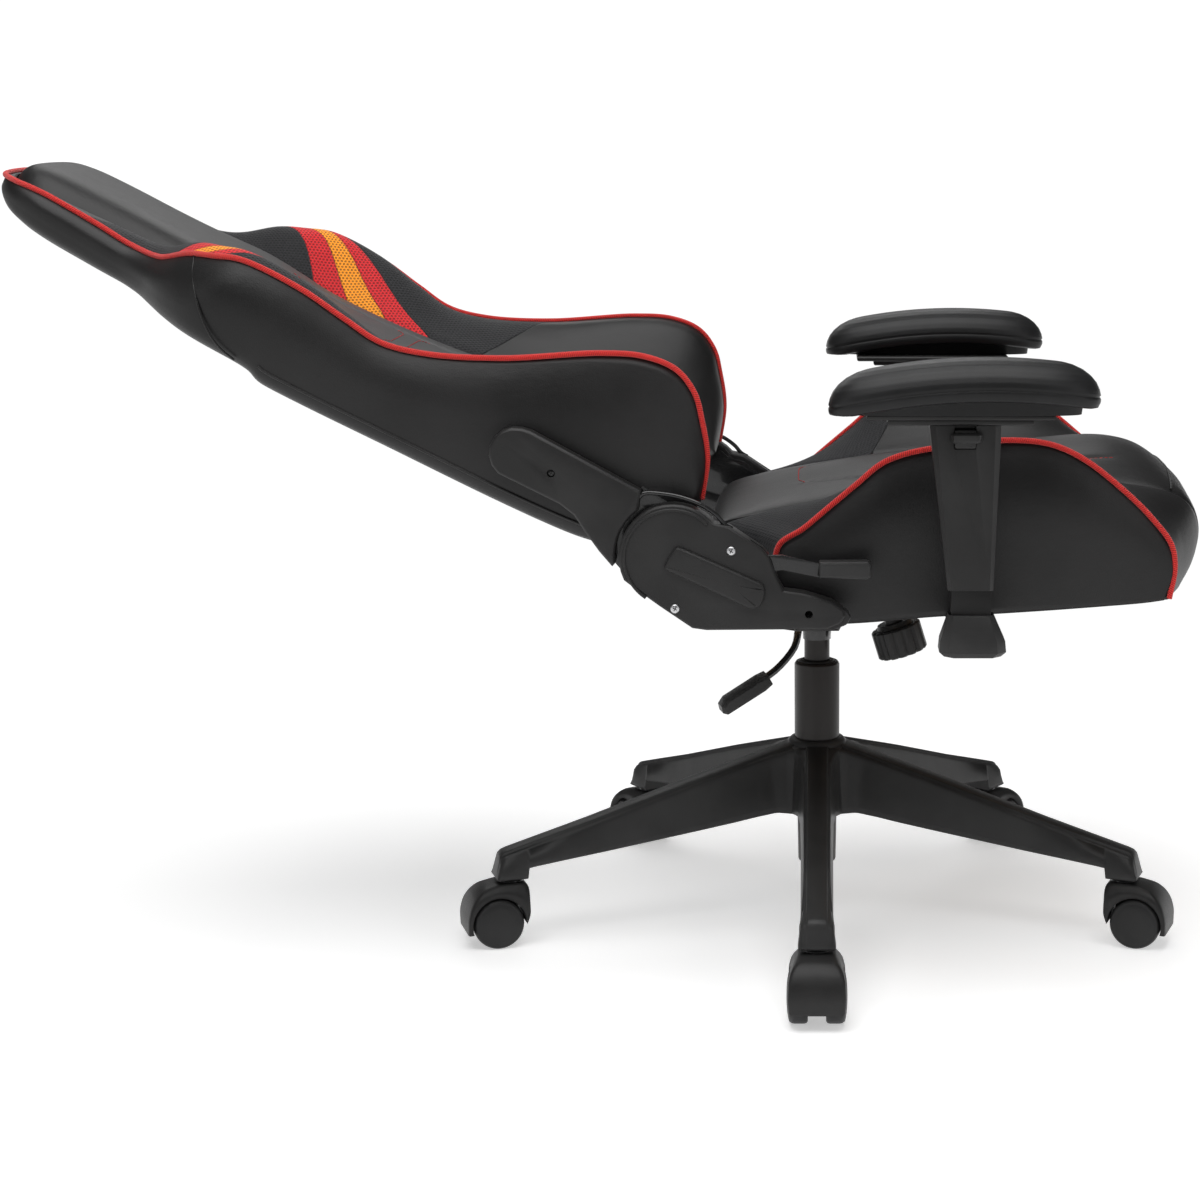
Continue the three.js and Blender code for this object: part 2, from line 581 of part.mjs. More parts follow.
function backArmCover() {
  const from = SEAT_PLATE_Z + 2 * PLATE + 2 * GAP;
  const outline = [
    [46, 57], [52, 180], ...arc([25, 184], 26, 10, 165, 8), [-1, 124], [-5, 106], [-16, 88], [-27, 68],
    [-35, 50], ...arc([0, 0], DISC_RADIUS + 4, 122, 62, 8),
  ];
  return cut(prism(outline, from, COVER_FACE - 4, 2.5), crossPin([23, 144], 4, COVER_FACE - 14, COVER_FACE, 12));
}

function back() {
  const { frame, channel, core, wing, wingPlan } = backParts();
  const side = cut(common(wing, wingPlan), channel);
  const holder = group(
    piece('back_frame', frame, PAINTED),
    piece('back_core', cut(core, channel), LEATHER),
    ...pair('back_bolster', side, LEATHER),
    ...pair('back_arm', backArm(), PAINTED),
    ...pair('back_arm_cover', backArmCover(), PLASTIC),
  );
  holder.position.set(RECLINE_AXIS.x, RECLINE_AXIS.y, 0);
  holder.rotation.z = radians(RECLINE);
  return holder;
}

// ---- Armrests ----
function armrest() {
  const level = (y, rear, front, half, corner) => ({ y, plan: boxPlan(rear, front, half, corner) });
  const wall = 4;
  const sleeve = cut(
    tower([level(427, 128, 173, 14, 4), level(SLEEVE_TOP, 109, 179, 17, 6)]),
    tower([level(426, 131, 172, 9, 1), level(SLEEVE_TOP - wall, 131, 172, 9, 1)]),
    slab([[133, ARM_Z + 8], [154, ARM_Z + 8], [154, ARM_Z + 20], [133, ARM_Z + 20]], 567, SLEEVE_TOP + 1));
  const button = joined(
    slab([[133.5, 323], [153.5, 323], [153.5, 332], [133.5, 332]], 568, 586, 1),
    slab([[129, 331.5], [160, 331.5], [157, 338], [132, 338]], 573.5, 583.5, 2));
  const carrier = joined(
    slab([[68, ARM_Z - 20], [210, ARM_Z - 20], [210, ARM_Z + 20], [68, ARM_Z + 20]], SLEEVE_TOP + GAP, 596.5, 1.5),
    slab([[48, ARM_Z - 28], [230, ARM_Z - 28], [230, ARM_Z + 28], [48, ARM_Z + 28]], 596, PAD_FLOOR - GAP, 1.5));
  return { sleeve, button, carrier, pad: armPad() };
}

/** Soft pad: a long rounded plan, crowned on top and turned under at the rim. */
function armPad() {
  const centre = { x: 142, z: 330 };
  const length = 131;
  const width = 43;
  const around = 28;
  const plan = (grow) => Array.from({ length: around }, (_, i) => {
    const angle = (2 * Math.PI * i) / around;
    const bulge = (value) => Math.sign(value) * Math.abs(value) ** 0.62;
    return [
      centre.x + (length + grow) * bulge(Math.cos(angle)),
      centre.z + (width + grow) * bulge(Math.sin(angle)),
    ];
  });
  const arch = (y) => (x) => y + 20 * (1 - ((x - 165) / 155) ** 2);
  const flat = [
    { grow: -16, y: () => PAD_FLOOR }, { grow: -3, y: (x) => Math.max(PAD_FLOOR, arch(592)(x)) },
    { grow: 0, y: arch(605) }, { grow: -2, y: arch(616) }, { grow: -9, y: arch(627) }, { grow: -20, y: arch(634) },
  ];
  return skin(flat.map(({ grow, y }) => plan(grow).map(([x, z]) => [x, y(x), z])));
}

/** A closed body skinned over loops of [x, y, z], the first and last closed by flat fans. */
function skin(loops) {
  const count = loops[0].length;
  const positions = loops.flat(2);
  const faces = [];
  for (let r = 0; r + 1 < loops.length; r++) {
    for (let i = 0; i < count; i++) {
      const a = r * count + i;
      const b = r * count + ((i + 1) % count);
      faces.push(a, b + count, b, a, a + count, b + count);
    }
  }
  const last = (loops.length - 1) * count;
  for (let i = 1; i + 1 < count; i++) {
    faces.push(0, i, i + 1, last, last + i + 1, last + i);
  }
  const geometry = new THREE.BufferGeometry();
  geometry.setAttribute('position', new THREE.Float32BufferAttribute(positions, 3));
  return geometry.setIndex(faces);
}

function seat() {
  const { middle, side } = seatCushions();
  const { plate, pin, cover } = recliner();
  const { sleeve, button, carrier, pad } = armrest();
  return group(
    piece('seat_board', seatBoard(), BOARD),
    piece('seat_cushion', middle, LEATHER),
    ...pair('seat_bolster', side, LEATHER),
    ...pair('recliner_plate', plate, PAINTED),
    ...pair('recliner_pin', pin, STEEL),
    ...pair('recliner_cover', cover, PLASTIC),
    piece('recline_lever', reclineLever(), PAINTED),
    piece('recline_grip', reclineGrip(), PLASTIC),
    ...pair('arm_bracket', armBracket(), PAINTED),
    ...pair('arm_foot', armFoot(), PLASTIC),
    ...pair('arm_sleeve', sleeve, PLASTIC),
    ...pair('arm_button', button, PLASTIC),
    ...pair('pad_carrier', carrier, PLASTIC),
    ...pair('arm_pad', pad, RUBBER),
  );
}

/** Y up, facing +X, becomes Z up, facing -Y, with the column at its place in the frame. */
const chair = group(base(), mechanism(), seat(), back());
chair.applyMatrix4(new THREE.Matrix4().makeBasis(
  new THREE.Vector3(0, -1, 0), new THREE.Vector3(0, 0, 1), new THREE.Vector3(-1, 0, 0)));
chair.position.set(COLUMN.x, COLUMN.y, 0);

export default chair;
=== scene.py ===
"""A reclining racing-style gaming chair: winged back, bolstered seat, armrests, gas lift, base and casters."""
import json
import logging
import math
from dataclasses import dataclass, field
from enum import Enum
from typing import Callable, Sequence

import bmesh
import bpy
import numpy as np
from numpy.typing import NDArray
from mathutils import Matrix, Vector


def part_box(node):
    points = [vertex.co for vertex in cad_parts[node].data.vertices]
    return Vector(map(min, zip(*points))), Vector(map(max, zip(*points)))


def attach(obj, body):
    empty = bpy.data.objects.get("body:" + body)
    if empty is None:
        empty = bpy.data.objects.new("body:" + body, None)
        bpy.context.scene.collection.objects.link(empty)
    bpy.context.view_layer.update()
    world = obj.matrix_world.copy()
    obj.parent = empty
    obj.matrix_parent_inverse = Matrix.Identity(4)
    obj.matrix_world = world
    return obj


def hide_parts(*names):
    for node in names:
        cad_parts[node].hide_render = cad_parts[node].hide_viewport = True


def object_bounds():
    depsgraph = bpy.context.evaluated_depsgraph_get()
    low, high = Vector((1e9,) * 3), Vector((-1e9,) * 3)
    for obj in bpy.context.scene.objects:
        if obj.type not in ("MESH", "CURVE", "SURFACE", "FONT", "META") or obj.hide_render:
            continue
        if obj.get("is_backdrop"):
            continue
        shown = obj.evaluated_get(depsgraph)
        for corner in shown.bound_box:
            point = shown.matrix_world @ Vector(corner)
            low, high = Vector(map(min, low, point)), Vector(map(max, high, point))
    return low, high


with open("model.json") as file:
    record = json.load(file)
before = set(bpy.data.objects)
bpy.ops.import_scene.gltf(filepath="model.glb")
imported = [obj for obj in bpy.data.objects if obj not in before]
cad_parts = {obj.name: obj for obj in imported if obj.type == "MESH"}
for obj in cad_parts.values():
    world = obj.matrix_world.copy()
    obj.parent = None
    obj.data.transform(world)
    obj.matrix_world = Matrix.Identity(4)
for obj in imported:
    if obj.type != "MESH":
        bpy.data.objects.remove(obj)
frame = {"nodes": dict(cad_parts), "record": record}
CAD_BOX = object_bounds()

Array = NDArray[np.float64]
Points = Sequence[tuple[float, ...]]
Rgb = tuple[float, float, float]
log = logging.getLogger("gaming_chair")
MM = 0.001


class Side(Enum):
    """The sitter's two sides; the value is the sign of the distance from the middle."""

    RIGHT = 1
    LEFT = -1

    @property
    def word(self) -> str:
        """The side's name as the frame's nodes end in it."""
        return self.name.lower()


# ---------------------------------------------------------------- places and lines

def joint_place(name: str) -> Array:
    """The point, in the row frame, that a joint turns about."""
    found = next(j for j in frame["record"]["behaviour"]["joints"] if j["name"] == name)
    return np.array(found["pos_m"], dtype=float)


@dataclass(frozen=True)
class ChairSpace:
    """Chair millimetres (forward, up, to the sitter's right of the gas column) carried to the row frame."""

    column: tuple[float, ...] = tuple(joint_place("base_seat_swivel")[:2].tolist())
    recline: float = math.radians(64)

    def at(self, forward, up, right) -> Array:
        """Points of the row frame, in metres.

        Args:
            forward: distance in front of the gas column, in mm.
            up: height above the floor, in mm.
            right: distance to the sitter's right, in mm.
        Returns:
            An array of points with the three coordinates last.
        """
        forward, up, right = np.broadcast_arrays(*(np.asarray(v, dtype=float) for v in (forward, up, right)))
        return np.stack([self.column[0] - right * MM, self.column[1] - forward * MM, up * MM], axis=-1)

    def on_back(self, near, along, right) -> Array:
        """Points of the back, drawn upright about its pivot and then leaned by the recline angle.

        Args:
            near: distance in front of the pivot, in mm.
            along: distance up the back, in mm.
            right: distance to the sitter's right, in mm.
        Returns:
            Points of the row frame: the pair (near, along) is turned by the recline angle about the pivot.
        """
        near, along = np.asarray(near, dtype=float), np.asarray(along, dtype=float)
        pivot = joint_place("back_recline")
        cosine, sine = math.cos(self.recline), math.sin(self.recline)
        forward = (self.column[1] - pivot[1]) / MM + near * cosine - along * sine
        up = pivot[2] / MM + near * sine + along * cosine
        return self.at(forward, up, right)


SPACE = ChairSpace()


def smooth_line(points: Points, count: int) -> Array:
    """A smooth line through the points, evenly spaced by length.

    Between neighbours it is a cubic whose end slopes are the differences across each point; the parameter grows
    by the square root of each chord.
    """
    p = np.asarray(points, dtype=float)
    gap = np.maximum(np.linalg.norm(np.diff(p, axis=0), axis=1), 1e-9) ** 0.5
    at = np.concatenate([[0.0], np.cumsum(gap)])
    slope = np.gradient(p, at, axis=0)
    fine = np.linspace(0, at[-1], 24 * len(p))
    i = np.clip(np.searchsorted(at, fine, side="right") - 1, 0, len(p) - 2)
    h = (at[i + 1] - at[i])[:, None]
    u = ((fine - at[i])[:, None]) / h
    dense = ((2 * u**3 - 3 * u**2 + 1) * p[i] + (u**3 - 2 * u**2 + u) * h * slope[i]
             + (3 * u**2 - 2 * u**3) * p[i + 1] + (u**3 - u**2) * h * slope[i + 1])
    return respaced(dense, count)


def respaced(line: Array, count: int) -> Array:
    """The same line with `count` points evenly spaced by length."""
    length = np.concatenate([[0.0], np.cumsum(np.linalg.norm(np.diff(line, axis=0), axis=1))])
    even = np.linspace(0, length[-1], count)
    return np.stack([np.interp(even, length, line[:, c]) for c in range(line.shape[1])], axis=-1)


def graph_of(points: Points) -> Callable[[Array], Array]:
    """A smooth function through (x, y) pairs given in rising x."""
    dense = smooth_line(points, 400)
    order = np.argsort(dense[:, 0])
    return lambda x: np.interp(x, dense[order, 0], dense[order, 1])


def eased(x: Array, low: float, high: float) -> Array:
    """0 below low, 1 above high, and the cubic 3u^2 - 2u^3 between them."""
    u = np.clip((np.asarray(x, dtype=float) - low) / (high - low), 0, 1)
    return u * u * (3 - 2 * u)


# ---------------------------------------------------------------- meshes

def new_object(name: str, vertices: Array, faces: list) -> bpy.types.Object:
    """An object at the origin with this mesh, smooth shaded."""
    mesh = bpy.data.meshes.new(name)
    mesh.from_pydata(np.asarray(vertices).tolist(), [], faces)
    mesh.polygons.foreach_set("use_smooth", np.ones(len(mesh.polygons), dtype=bool))
    mesh.update()
    made = bpy.data.objects.new(name, mesh)
    bpy.context.scene.collection.objects.link(made)
    return made


def signed_volume(vertices: Array, faces: Array) -> float:
    """Six times the volume inside a closed mesh of quads: the sum over triangles of a . (b x c)."""
    a, b, c, d = (vertices[faces[:, k]] for k in range(4))
    return float((a * np.cross(b, c)).sum() + (a * np.cross(c, d)).sum())


def ring_body(name: str, rings: Array, maps: dict[str, Array] | None = None,
              zones: Array | None = None) -> bpy.types.Object:
    """A closed body carried through rings, each end closed to a pole.

    Point (i, j) is place j round ring i, and the last place repeats the first.

    Args:
        name: the object's name.
        rings: array (rings, places + 1, 3).
        maps: UV maps by name, arrays (rings, places + 1, 2).
        zones: material index of each face, array (rings - 1, places).
    Returns:
        The new object, with its faces outwards.
    """
    m, n = rings.shape[0], rings.shape[1] - 1
    i, j = (index.ravel() for index in np.meshgrid(np.arange(m - 1), np.arange(n), indexing="ij"))
    side, wide = (j + 1) % n, n + 1
    quads = np.stack([i * n + j, i * n + side, (i + 1) * n + side, (i + 1) * n + j], axis=1)
    corner = np.stack([i * wide + j, i * wide + j + 1, (i + 1) * wide + j + 1, (i + 1) * wide + j], axis=1)
    caps, cap_corner = [], []
    ring = np.arange(n)
    for end, (row, pole) in enumerate(((0, m * n), (m - 1, m * n + 1))):
        a, b = row * n + ring, row * n + (ring + 1) % n
        ca, cb = row * wide + ring, row * wide + ring + 1
        first, second, cf, cs = (b, a, cb, ca) if end == 0 else (a, b, ca, cb)
        caps.append(np.stack([first, second, np.full(n, pole), np.full(n, pole)], axis=1))
        cap_corner.append(np.stack([cf, cs, cf, cf], axis=1))
    whole = len(quads)
    every, corners = np.concatenate([quads, *caps]), np.concatenate([corner, *cap_corner])
    poles = np.stack([rings[0, :n].mean(axis=0), rings[-1, :n].mean(axis=0)])
    points = np.concatenate([rings[:, :n].reshape(-1, 3), poles])
    if signed_volume(points, every) < 0:
        every, corners = every[:, ::-1], corners[:, ::-1]
        every[whole:] = np.roll(every[whole:], 2, axis=1)
        corners[whole:] = np.roll(corners[whole:], 2, axis=1)
    made = new_object(name, points, every[:whole].tolist() + every[whole:, :3].tolist())
    flat = np.concatenate([corners[:whole].ravel(), corners[whole:, :3].ravel()])
    for label, values in (maps or {}).items():
        layer = made.data.uv_layers.new(name=label)
        layer.data.foreach_set("uv", values.reshape(-1, 2)[flat].astype(np.float32).ravel())
    if zones is not None:
        index = np.concatenate([zones.ravel(), np.zeros(len(every) - whole, dtype=int)])
        made.data.polygons.foreach_set("material_index", index.astype(np.int32))
    return made


def lengths_map(rings: Array) -> Array:
    """UV in metres, plus one: u is the distance round each ring, v the mean distance along."""
    around = np.concatenate([np.zeros((rings.shape[0], 1)),
                             np.cumsum(np.linalg.norm(np.diff(rings, axis=1), axis=2), axis=1)], axis=1)
    step = np.linalg.norm(np.diff(rings, axis=0), axis=2).mean(axis=1)
    along = np.concatenate([[0.0], np.cumsum(step)])[:, None] + np.zeros_like(around)
    return np.stack([around, along], axis=-1) + 1.0


def tube(name: str, path: Array, radius: float, sides: int) -> bpy.types.Object:
    """A round cord along a path: each ring stands square to the path and starts on the side of one fixed axis.

    The UV map `cord` has the share of a turn as u and the distance along, in metres, as v.
    """
    ahead = np.roll(path, -1, axis=0) - np.roll(path, 1, axis=0)
    ahead[0], ahead[-1] = path[1] - path[0], path[-1] - path[-2]
    ahead /= np.linalg.norm(ahead, axis=1, keepdims=True)
    reference = np.array([1.0, 0.0, 0.0]) if abs(ahead[:, 0]).mean() < 0.5 else np.array([0.0, 0.0, 1.0])
    first = reference - ahead * (ahead @ reference)[:, None]
    first /= np.linalg.norm(first, axis=1, keepdims=True)
    second = np.cross(ahead, first)
    turn = np.linspace(0, 2 * math.pi, sides + 1)
    cosine, sine = np.cos(turn)[:, None], np.sin(turn)[:, None]
    rings = path[:, None] + radius * (first[:, None] * cosine + second[:, None] * sine)
    length = np.concatenate([[0.0], np.cumsum(np.linalg.norm(np.diff(path, axis=0), axis=1))])
    u, v = np.meshgrid(turn / (2 * math.pi), length)
    return ring_body(name, rings, {"cord": np.stack([u, v], axis=-1)})


def turned(name: str, profile: Points, centre: Array, axis: Array, sides: int) -> bpy.types.Object:
    """A body of revolution: profile pairs (radius, height along the axis), in mm, swept round it."""
    line = np.asarray(profile, dtype=float)
    axis = np.asarray(axis, dtype=float) / np.linalg.norm(axis)
    helper = np.array([0.0, 0.0, 1.0]) if abs(axis[2]) < 0.9 else np.array([1.0, 0.0, 0.0])
    one = np.cross(axis, helper)
    one /= np.linalg.norm(one)
    two = np.cross(axis, one)
    turn = np.linspace(0, 2 * math.pi, sides + 1)
    radius = np.maximum(line[:, :1], 0.02) + np.zeros_like(turn)
    rings = (centre + MM * line[:, 1, None, None] * axis
             + MM * radius[..., None] * (np.cos(turn)[:, None] * one + np.sin(turn)[:, None] * two))
    return ring_body(name, rings)


def rounded_profile(corners: Points, radius: float, steps: int = 4) -> list[tuple[float, float]]:
    """The polyline with each inner corner replaced by a quadratic curve that starts `radius` before it."""
    p = np.asarray(corners, dtype=float)
    out = [tuple(p[0])]
    u = np.linspace(0, 1, steps)[:, None]
    for before, here, after in zip(p[:-2], p[1:-1], p[2:]):
        a, b = before - here, after - here
        la, lb = np.linalg.norm(a), np.linalg.norm(b)
        start, end = here + a / la * min(radius, la / 2.1), here + b / lb * min(radius, lb / 2.1)
        out += [tuple(q) for q in (1 - u) ** 2 * start + 2 * u * (1 - u) * here + u**2 * end]
    return out + [tuple(p[-1])]


def prism_body(name: str, outline: Array, low: float, high: float,
               place: Callable[[Array, Array, float], Array], bevel: float) -> bpy.types.Object:
    """A plate of this outline between two distances, with a bevelled rim on its high side.

    The rings are the outline at `low`, at `high` less the bevel, and at `high` pulled in towards the outline's
    inside by the bevel; each ring's places follow the outline.
    """
    line = np.vstack([outline, outline[:1]])
    ahead = np.roll(outline, -1, axis=0) - np.roll(outline, 1, axis=0)
    ahead /= np.maximum(np.linalg.norm(ahead, axis=1, keepdims=True), 1e-9)
    inward = np.stack([-ahead[:, 1], ahead[:, 0]], axis=1)
    area = np.sum(outline[:, 0] * np.roll(outline[:, 1], -1) - np.roll(outline[:, 0], -1) * outline[:, 1])
    inward *= math.copysign(1.0, area)
    inward = np.vstack([inward, inward[:1]])
    turn = np.linspace(0, math.pi / 2, 5)
    levels = [(0.0, low)] + [(bevel * (1 - math.cos(a)), high - bevel * (1 - math.sin(a))) for a in turn]
    rings = [place(*(line + inward * pull).T, level) for pull, level in levels]
    return ring_body(name, np.stack(rings))


# ---------------------------------------------------------------- shader graphs

class Socket:
    """One output of a shader node; arithmetic on it adds Math nodes."""

    def __init__(self, graph: "Graph", source: bpy.types.NodeSocket) -> None:
        """Keeps the graph and the node's output."""
        self.graph, self.source = graph, source

    def math(self, operation: str, *others: "Socket | float") -> "Socket":
        """A Math node of this operation on this socket and the others, in order."""
        return self.graph.node("ShaderNodeMath", {"operation": operation},
                               {k: v for k, v in enumerate((self, *others))})

    def flipped(self, operation: str, other: "Socket | float") -> "Socket":
        """The same with the other value first."""
        return self.graph.node("ShaderNodeMath", {"operation": operation}, {0: other, 1: self})

    def __add__(self, other: "Socket | float") -> "Socket":
        """Sum."""
        return self.math("ADD", other)

    __radd__ = __add__

    def __sub__(self, other: "Socket | float") -> "Socket":
        """Difference."""
        return self.math("SUBTRACT", other)

    def __rsub__(self, other: "Socket | float") -> "Socket":
        """Difference from a number."""
        return self.flipped("SUBTRACT", other)

    def __mul__(self, other: "Socket | float") -> "Socket":
        """Product."""
        return self.math("MULTIPLY", other)

    __rmul__ = __mul__

    def __truediv__(self, other: "Socket | float") -> "Socket":
        """Quotient."""
        return self.math("DIVIDE", other)

    def __rtruediv__(self, other: "Socket | float") -> "Socket":
        """A number divided by this."""
        return self.flipped("DIVIDE", other)

    def __abs__(self) -> "Socket":
        """Absolute value."""
        return self.math("ABSOLUTE")

    def ramp(self, low: float, high: float, start: float = 0.0, end: float = 1.0) -> "Socket":
        """A smooth step: start below low, end above high."""
        return self.graph.node("ShaderNodeMapRange", {"interpolation_type": "SMOOTHSTEP"},
                               {0: self, 1: low, 2: high, 3: start, 4: end})


class Graph:
    """The node tree of one material."""

    def __init__(self, name: str) -> None:
        """An empty material of this name."""
        self.material = bpy.data.materials.new(name)
        self.material.use_nodes = True
        self.tree = self.material.node_tree
        self.tree.nodes.clear()

    def node(self, kind: str, settings: dict | None = None, inputs: dict | None = None,
             output: int | str = 0) -> Socket:
        """Adds one node.

        Args:
            kind: the node's type.
            settings: its properties by name.
            inputs: its inputs by name or place: sockets are linked, and plain values are set.
            output: the output wanted.
        Returns:
            That output.
        """
        made = self.tree.nodes.new(kind)
        for key, value in (settings or {}).items():
            setattr(made, key, value)
        for key, value in (inputs or {}).items():
            if isinstance(value, Socket):
                self.tree.links.new(value.source, made.inputs[key])
            else:
                made.inputs[key].default_value = value
        return Socket(self, made.outputs[output])

    def place(self) -> Socket:
        """The point in object coordinates, in metres."""
        return self.node("ShaderNodeTexCoord", output="Object")

    def uv(self, label: str) -> Socket:
        """A UV map of the piece."""
        return self.node("ShaderNodeUVMap", {"uv_map": label})

    def axis(self, vector: Socket, letter: str) -> Socket:
        """One coordinate of a vector."""
        return self.node("ShaderNodeSeparateXYZ", inputs={0: vector}, output=letter)

    def vector(self, operation: str, a: Socket, b: "Socket | tuple[float, float, float]",
               output: int | str = 0) -> Socket:
        """A Vector Math node."""
        return self.node("ShaderNodeVectorMath", {"operation": operation}, {0: a, 1: b}, output)

    def noise(self, vector: Socket, scale: float, detail: float = 3.0, roughness: float = 0.5) -> Socket:
        """Fractal noise, about 0.5."""
        return self.node("ShaderNodeTexNoise", inputs={"Vector": vector, "Scale": scale, "Detail": detail,
                                                       "Roughness": roughness})

    def cells(self, vector: Socket, scale: float, feature: str = "F1") -> Socket:
        """Distance to the nearest of scattered points."""
        return self.node("ShaderNodeTexVoronoi", {"feature": feature}, {"Vector": vector, "Scale": scale})

    def blend(self, factor: Socket, a: "Socket | Rgb", b: "Socket | Rgb") -> Socket:
        """A colour between a and b."""
        full = lambda c: c if isinstance(c, Socket) else (*c, 1.0)
        return self.node("ShaderNodeMix", {"data_type": "RGBA"}, {0: factor, 6: full(a), 7: full(b)}, output=2)

    def bump(self, height: Socket, depth: float, strength: float = 1.0, under: Socket | None = None) -> Socket:
        """A bumped normal; depth is the height of one unit, in metres."""
        inputs: dict = {"Height": height, "Distance": depth, "Strength": strength}
        if under is not None:
            inputs["Normal"] = under
        return self.node("ShaderNodeBump", inputs=inputs)

    def surface(self, colour: "Socket | Rgb", roughness: "Socket | float", normal: Socket | None = None,
                **uniform: float) -> Socket:
        """A Principled shader; the uniform values go straight on its sockets, with spaces for underscores."""
        base = colour if isinstance(colour, Socket) else (*colour, 1.0)
        inputs: dict = {"Base Color": base, "Roughness": roughness}
        if normal is not None:
            inputs["Normal"] = normal
        inputs.update({key.replace("_", " "): value for key, value in uniform.items()})
        return self.node("ShaderNodeBsdfPrincipled", inputs=inputs)

    def done(self, shader: Socket) -> bpy.types.Material:
        """Connects the shader to the output."""
        output = self.tree.nodes.new("ShaderNodeOutputMaterial")
        self.tree.links.new(shader.source, output.inputs["Surface"])
        return self.material


# ---------------------------------------------------------------- finishes

@dataclass(frozen=True)
class Finish:
    """What every finish has: its name, and a material made once."""

    name: str = "finish"

    def material(self) -> bpy.types.Material:
        """The finish's material, made the first time it is asked for."""
        return bpy.data.materials.get(self.name) or self.build(Graph(self.name))

    def build(self, g: Graph) -> bpy.types.Material:
        """Makes the material; each finish has its own."""
        raise NotImplementedError

    def dress(self, piece: bpy.types.Object, place: int = 0) -> bpy.types.Object:
        """Puts the material in one of the piece's slots."""
        while len(piece.material_slots) <= place:
            piece.data.materials.append(None)
        piece.material_slots[place].material = self.material()
        return piece


def leather_skin(g: Graph, look: "Leatherette", under: Socket | None = None) -> Socket:
    """Grained leatherette: pebbles from two scales of cells, long soft creases, and a slow drift of tone."""
    p = g.place()
    drift = g.noise(p, 9.0, 2.0)
    pebble = g.cells(p, 780.0, "SMOOTH_F1") * 0.75 + g.noise(p, 2100.0, 2.0) * 0.35
    crease = g.noise(g.vector("MULTIPLY", p, (1.0, 0.45, 1.0)), 34.0, 4.0, 0.55)
    wave = g.noise(p, 8.0, 1.5)
    soft = g.bump(wave, 0.010, 0.35, under)
    folds = g.bump(crease, 0.0022, 0.30, soft)
    fine = g.bump(pebble, look.grain, 0.8, folds)
    tone = g.blend(drift.ramp(0.3, 0.7), look.dark, look.light)
    polish = look.roughness + (drift - 0.5) * 0.16 + (pebble - 0.4) * 0.10
    return g.surface(tone, polish, fine, Specular_IOR_Level=0.32)


@dataclass(frozen=True)
class Leatherette(Finish):
    """Soft black leatherette with a fine pebble grain."""

    name: str = "grained_leatherette"
    dark: Rgb = (0.0075, 0.0072, 0.0073)
    light: Rgb = (0.0135, 0.0130, 0.0132)
    grain: float = 0.00016
    roughness: float = 0.44

    def build(self, g: Graph) -> bpy.types.Material:
        """The grained skin alone."""
        return g.done(leather_skin(g, self))


def cloth_and_skin(g: Graph, shade: Socket, rim: Socket, thread: Socket, groove: Socket, leather: Leatherette,
                   **uniform: float) -> tuple[Socket, Socket]:
    """Perforated cloth and the leatherette beside it, both drawn in at the sewn groove."""
    hole_depth, sewn_depth = 0.0007, 0.0016
    weave = g.bump(rim + thread * 0.25, hole_depth, 1.0)
    cloth = g.surface(shade, 0.62 + thread * 0.12, g.bump(groove, sewn_depth, 1.0, weave),
                      Specular_IOR_Level=0.35, **uniform)
    return cloth, leather_skin(g, leather, g.bump(groove, sewn_depth, 1.0))


@dataclass(frozen=True)
class Band:
    """A slanted border across a wing: its height up the back at the root and at the piped edge, in mm."""

    root: float
    edge: float


@dataclass(frozen=True)
class WingCloth(Finish):
    """Perforated cloth in slanted black, red and orange bands, with leatherette above and below it.

    The map `band` has the share of the way from root to piping as u and the height up the back, in metres,
    as v; the map `weave` has metres along both ways of the cloth.
    """

    name: str = "wing_cloth"
    pitch: float = 0.0043
    black: Rgb = (0.012, 0.012, 0.014)
    red: Rgb = (0.70, 0.014, 0.020)
    orange: Rgb = (1.0, 0.34, 0.012)
    leather: Leatherette = field(default_factory=Leatherette)
    borders: tuple[Band, ...] = (Band(292, 237), Band(343, 538), Band(399, 553), Band(445, 568), Band(490, 584),
                                 Band(642, 695))

    def past(self, g: Graph, across: Socket, along: Socket, border: Band) -> Socket:
        """Metres above a border at each point."""
        return along - (across * ((border.edge - border.root) * MM) + border.root * MM)

    def build(self, g: Graph) -> bpy.types.Material:
        """Bands by step masks on each border, a lattice of holes, and a sewn groove at each border."""
        band = g.uv("band")
        across, along = g.axis(band, "X"), g.axis(band, "Y")
        past = [self.past(g, across, along, b) for b in self.borders]
        step = [d.ramp(-0.0004, 0.0004) for d in past]
        tone = g.blend(step[1], self.black, self.red)
        tone = g.blend(step[2], tone, self.orange)
        tone = g.blend(step[3], tone, self.red)
        tone = g.blend(step[4], tone, self.black)
        rim, thread = hole_lattice(g, g.uv("weave"), self.pitch)
        groove = sum_of([(abs(d) / 0.0011).ramp(0.0, 1.0) for d in past])
        grey = g.node("ShaderNodeCombineColor", inputs={0: rim, 1: rim, 2: rim})
        shade = g.node("ShaderNodeMix", {"data_type": "RGBA", "blend_type": "MULTIPLY"},
                       {0: 1.0, 6: tone, 7: grey}, output=2)
        cloth, skin = cloth_and_skin(g, shade, rim, thread, groove, self.leather, Sheen_Weight=0.10)
        covered = step[0] * (1.0 - step[5])
        return g.done(g.node("ShaderNodeMixShader", inputs={0: covered, 1: skin, 2: cloth}))


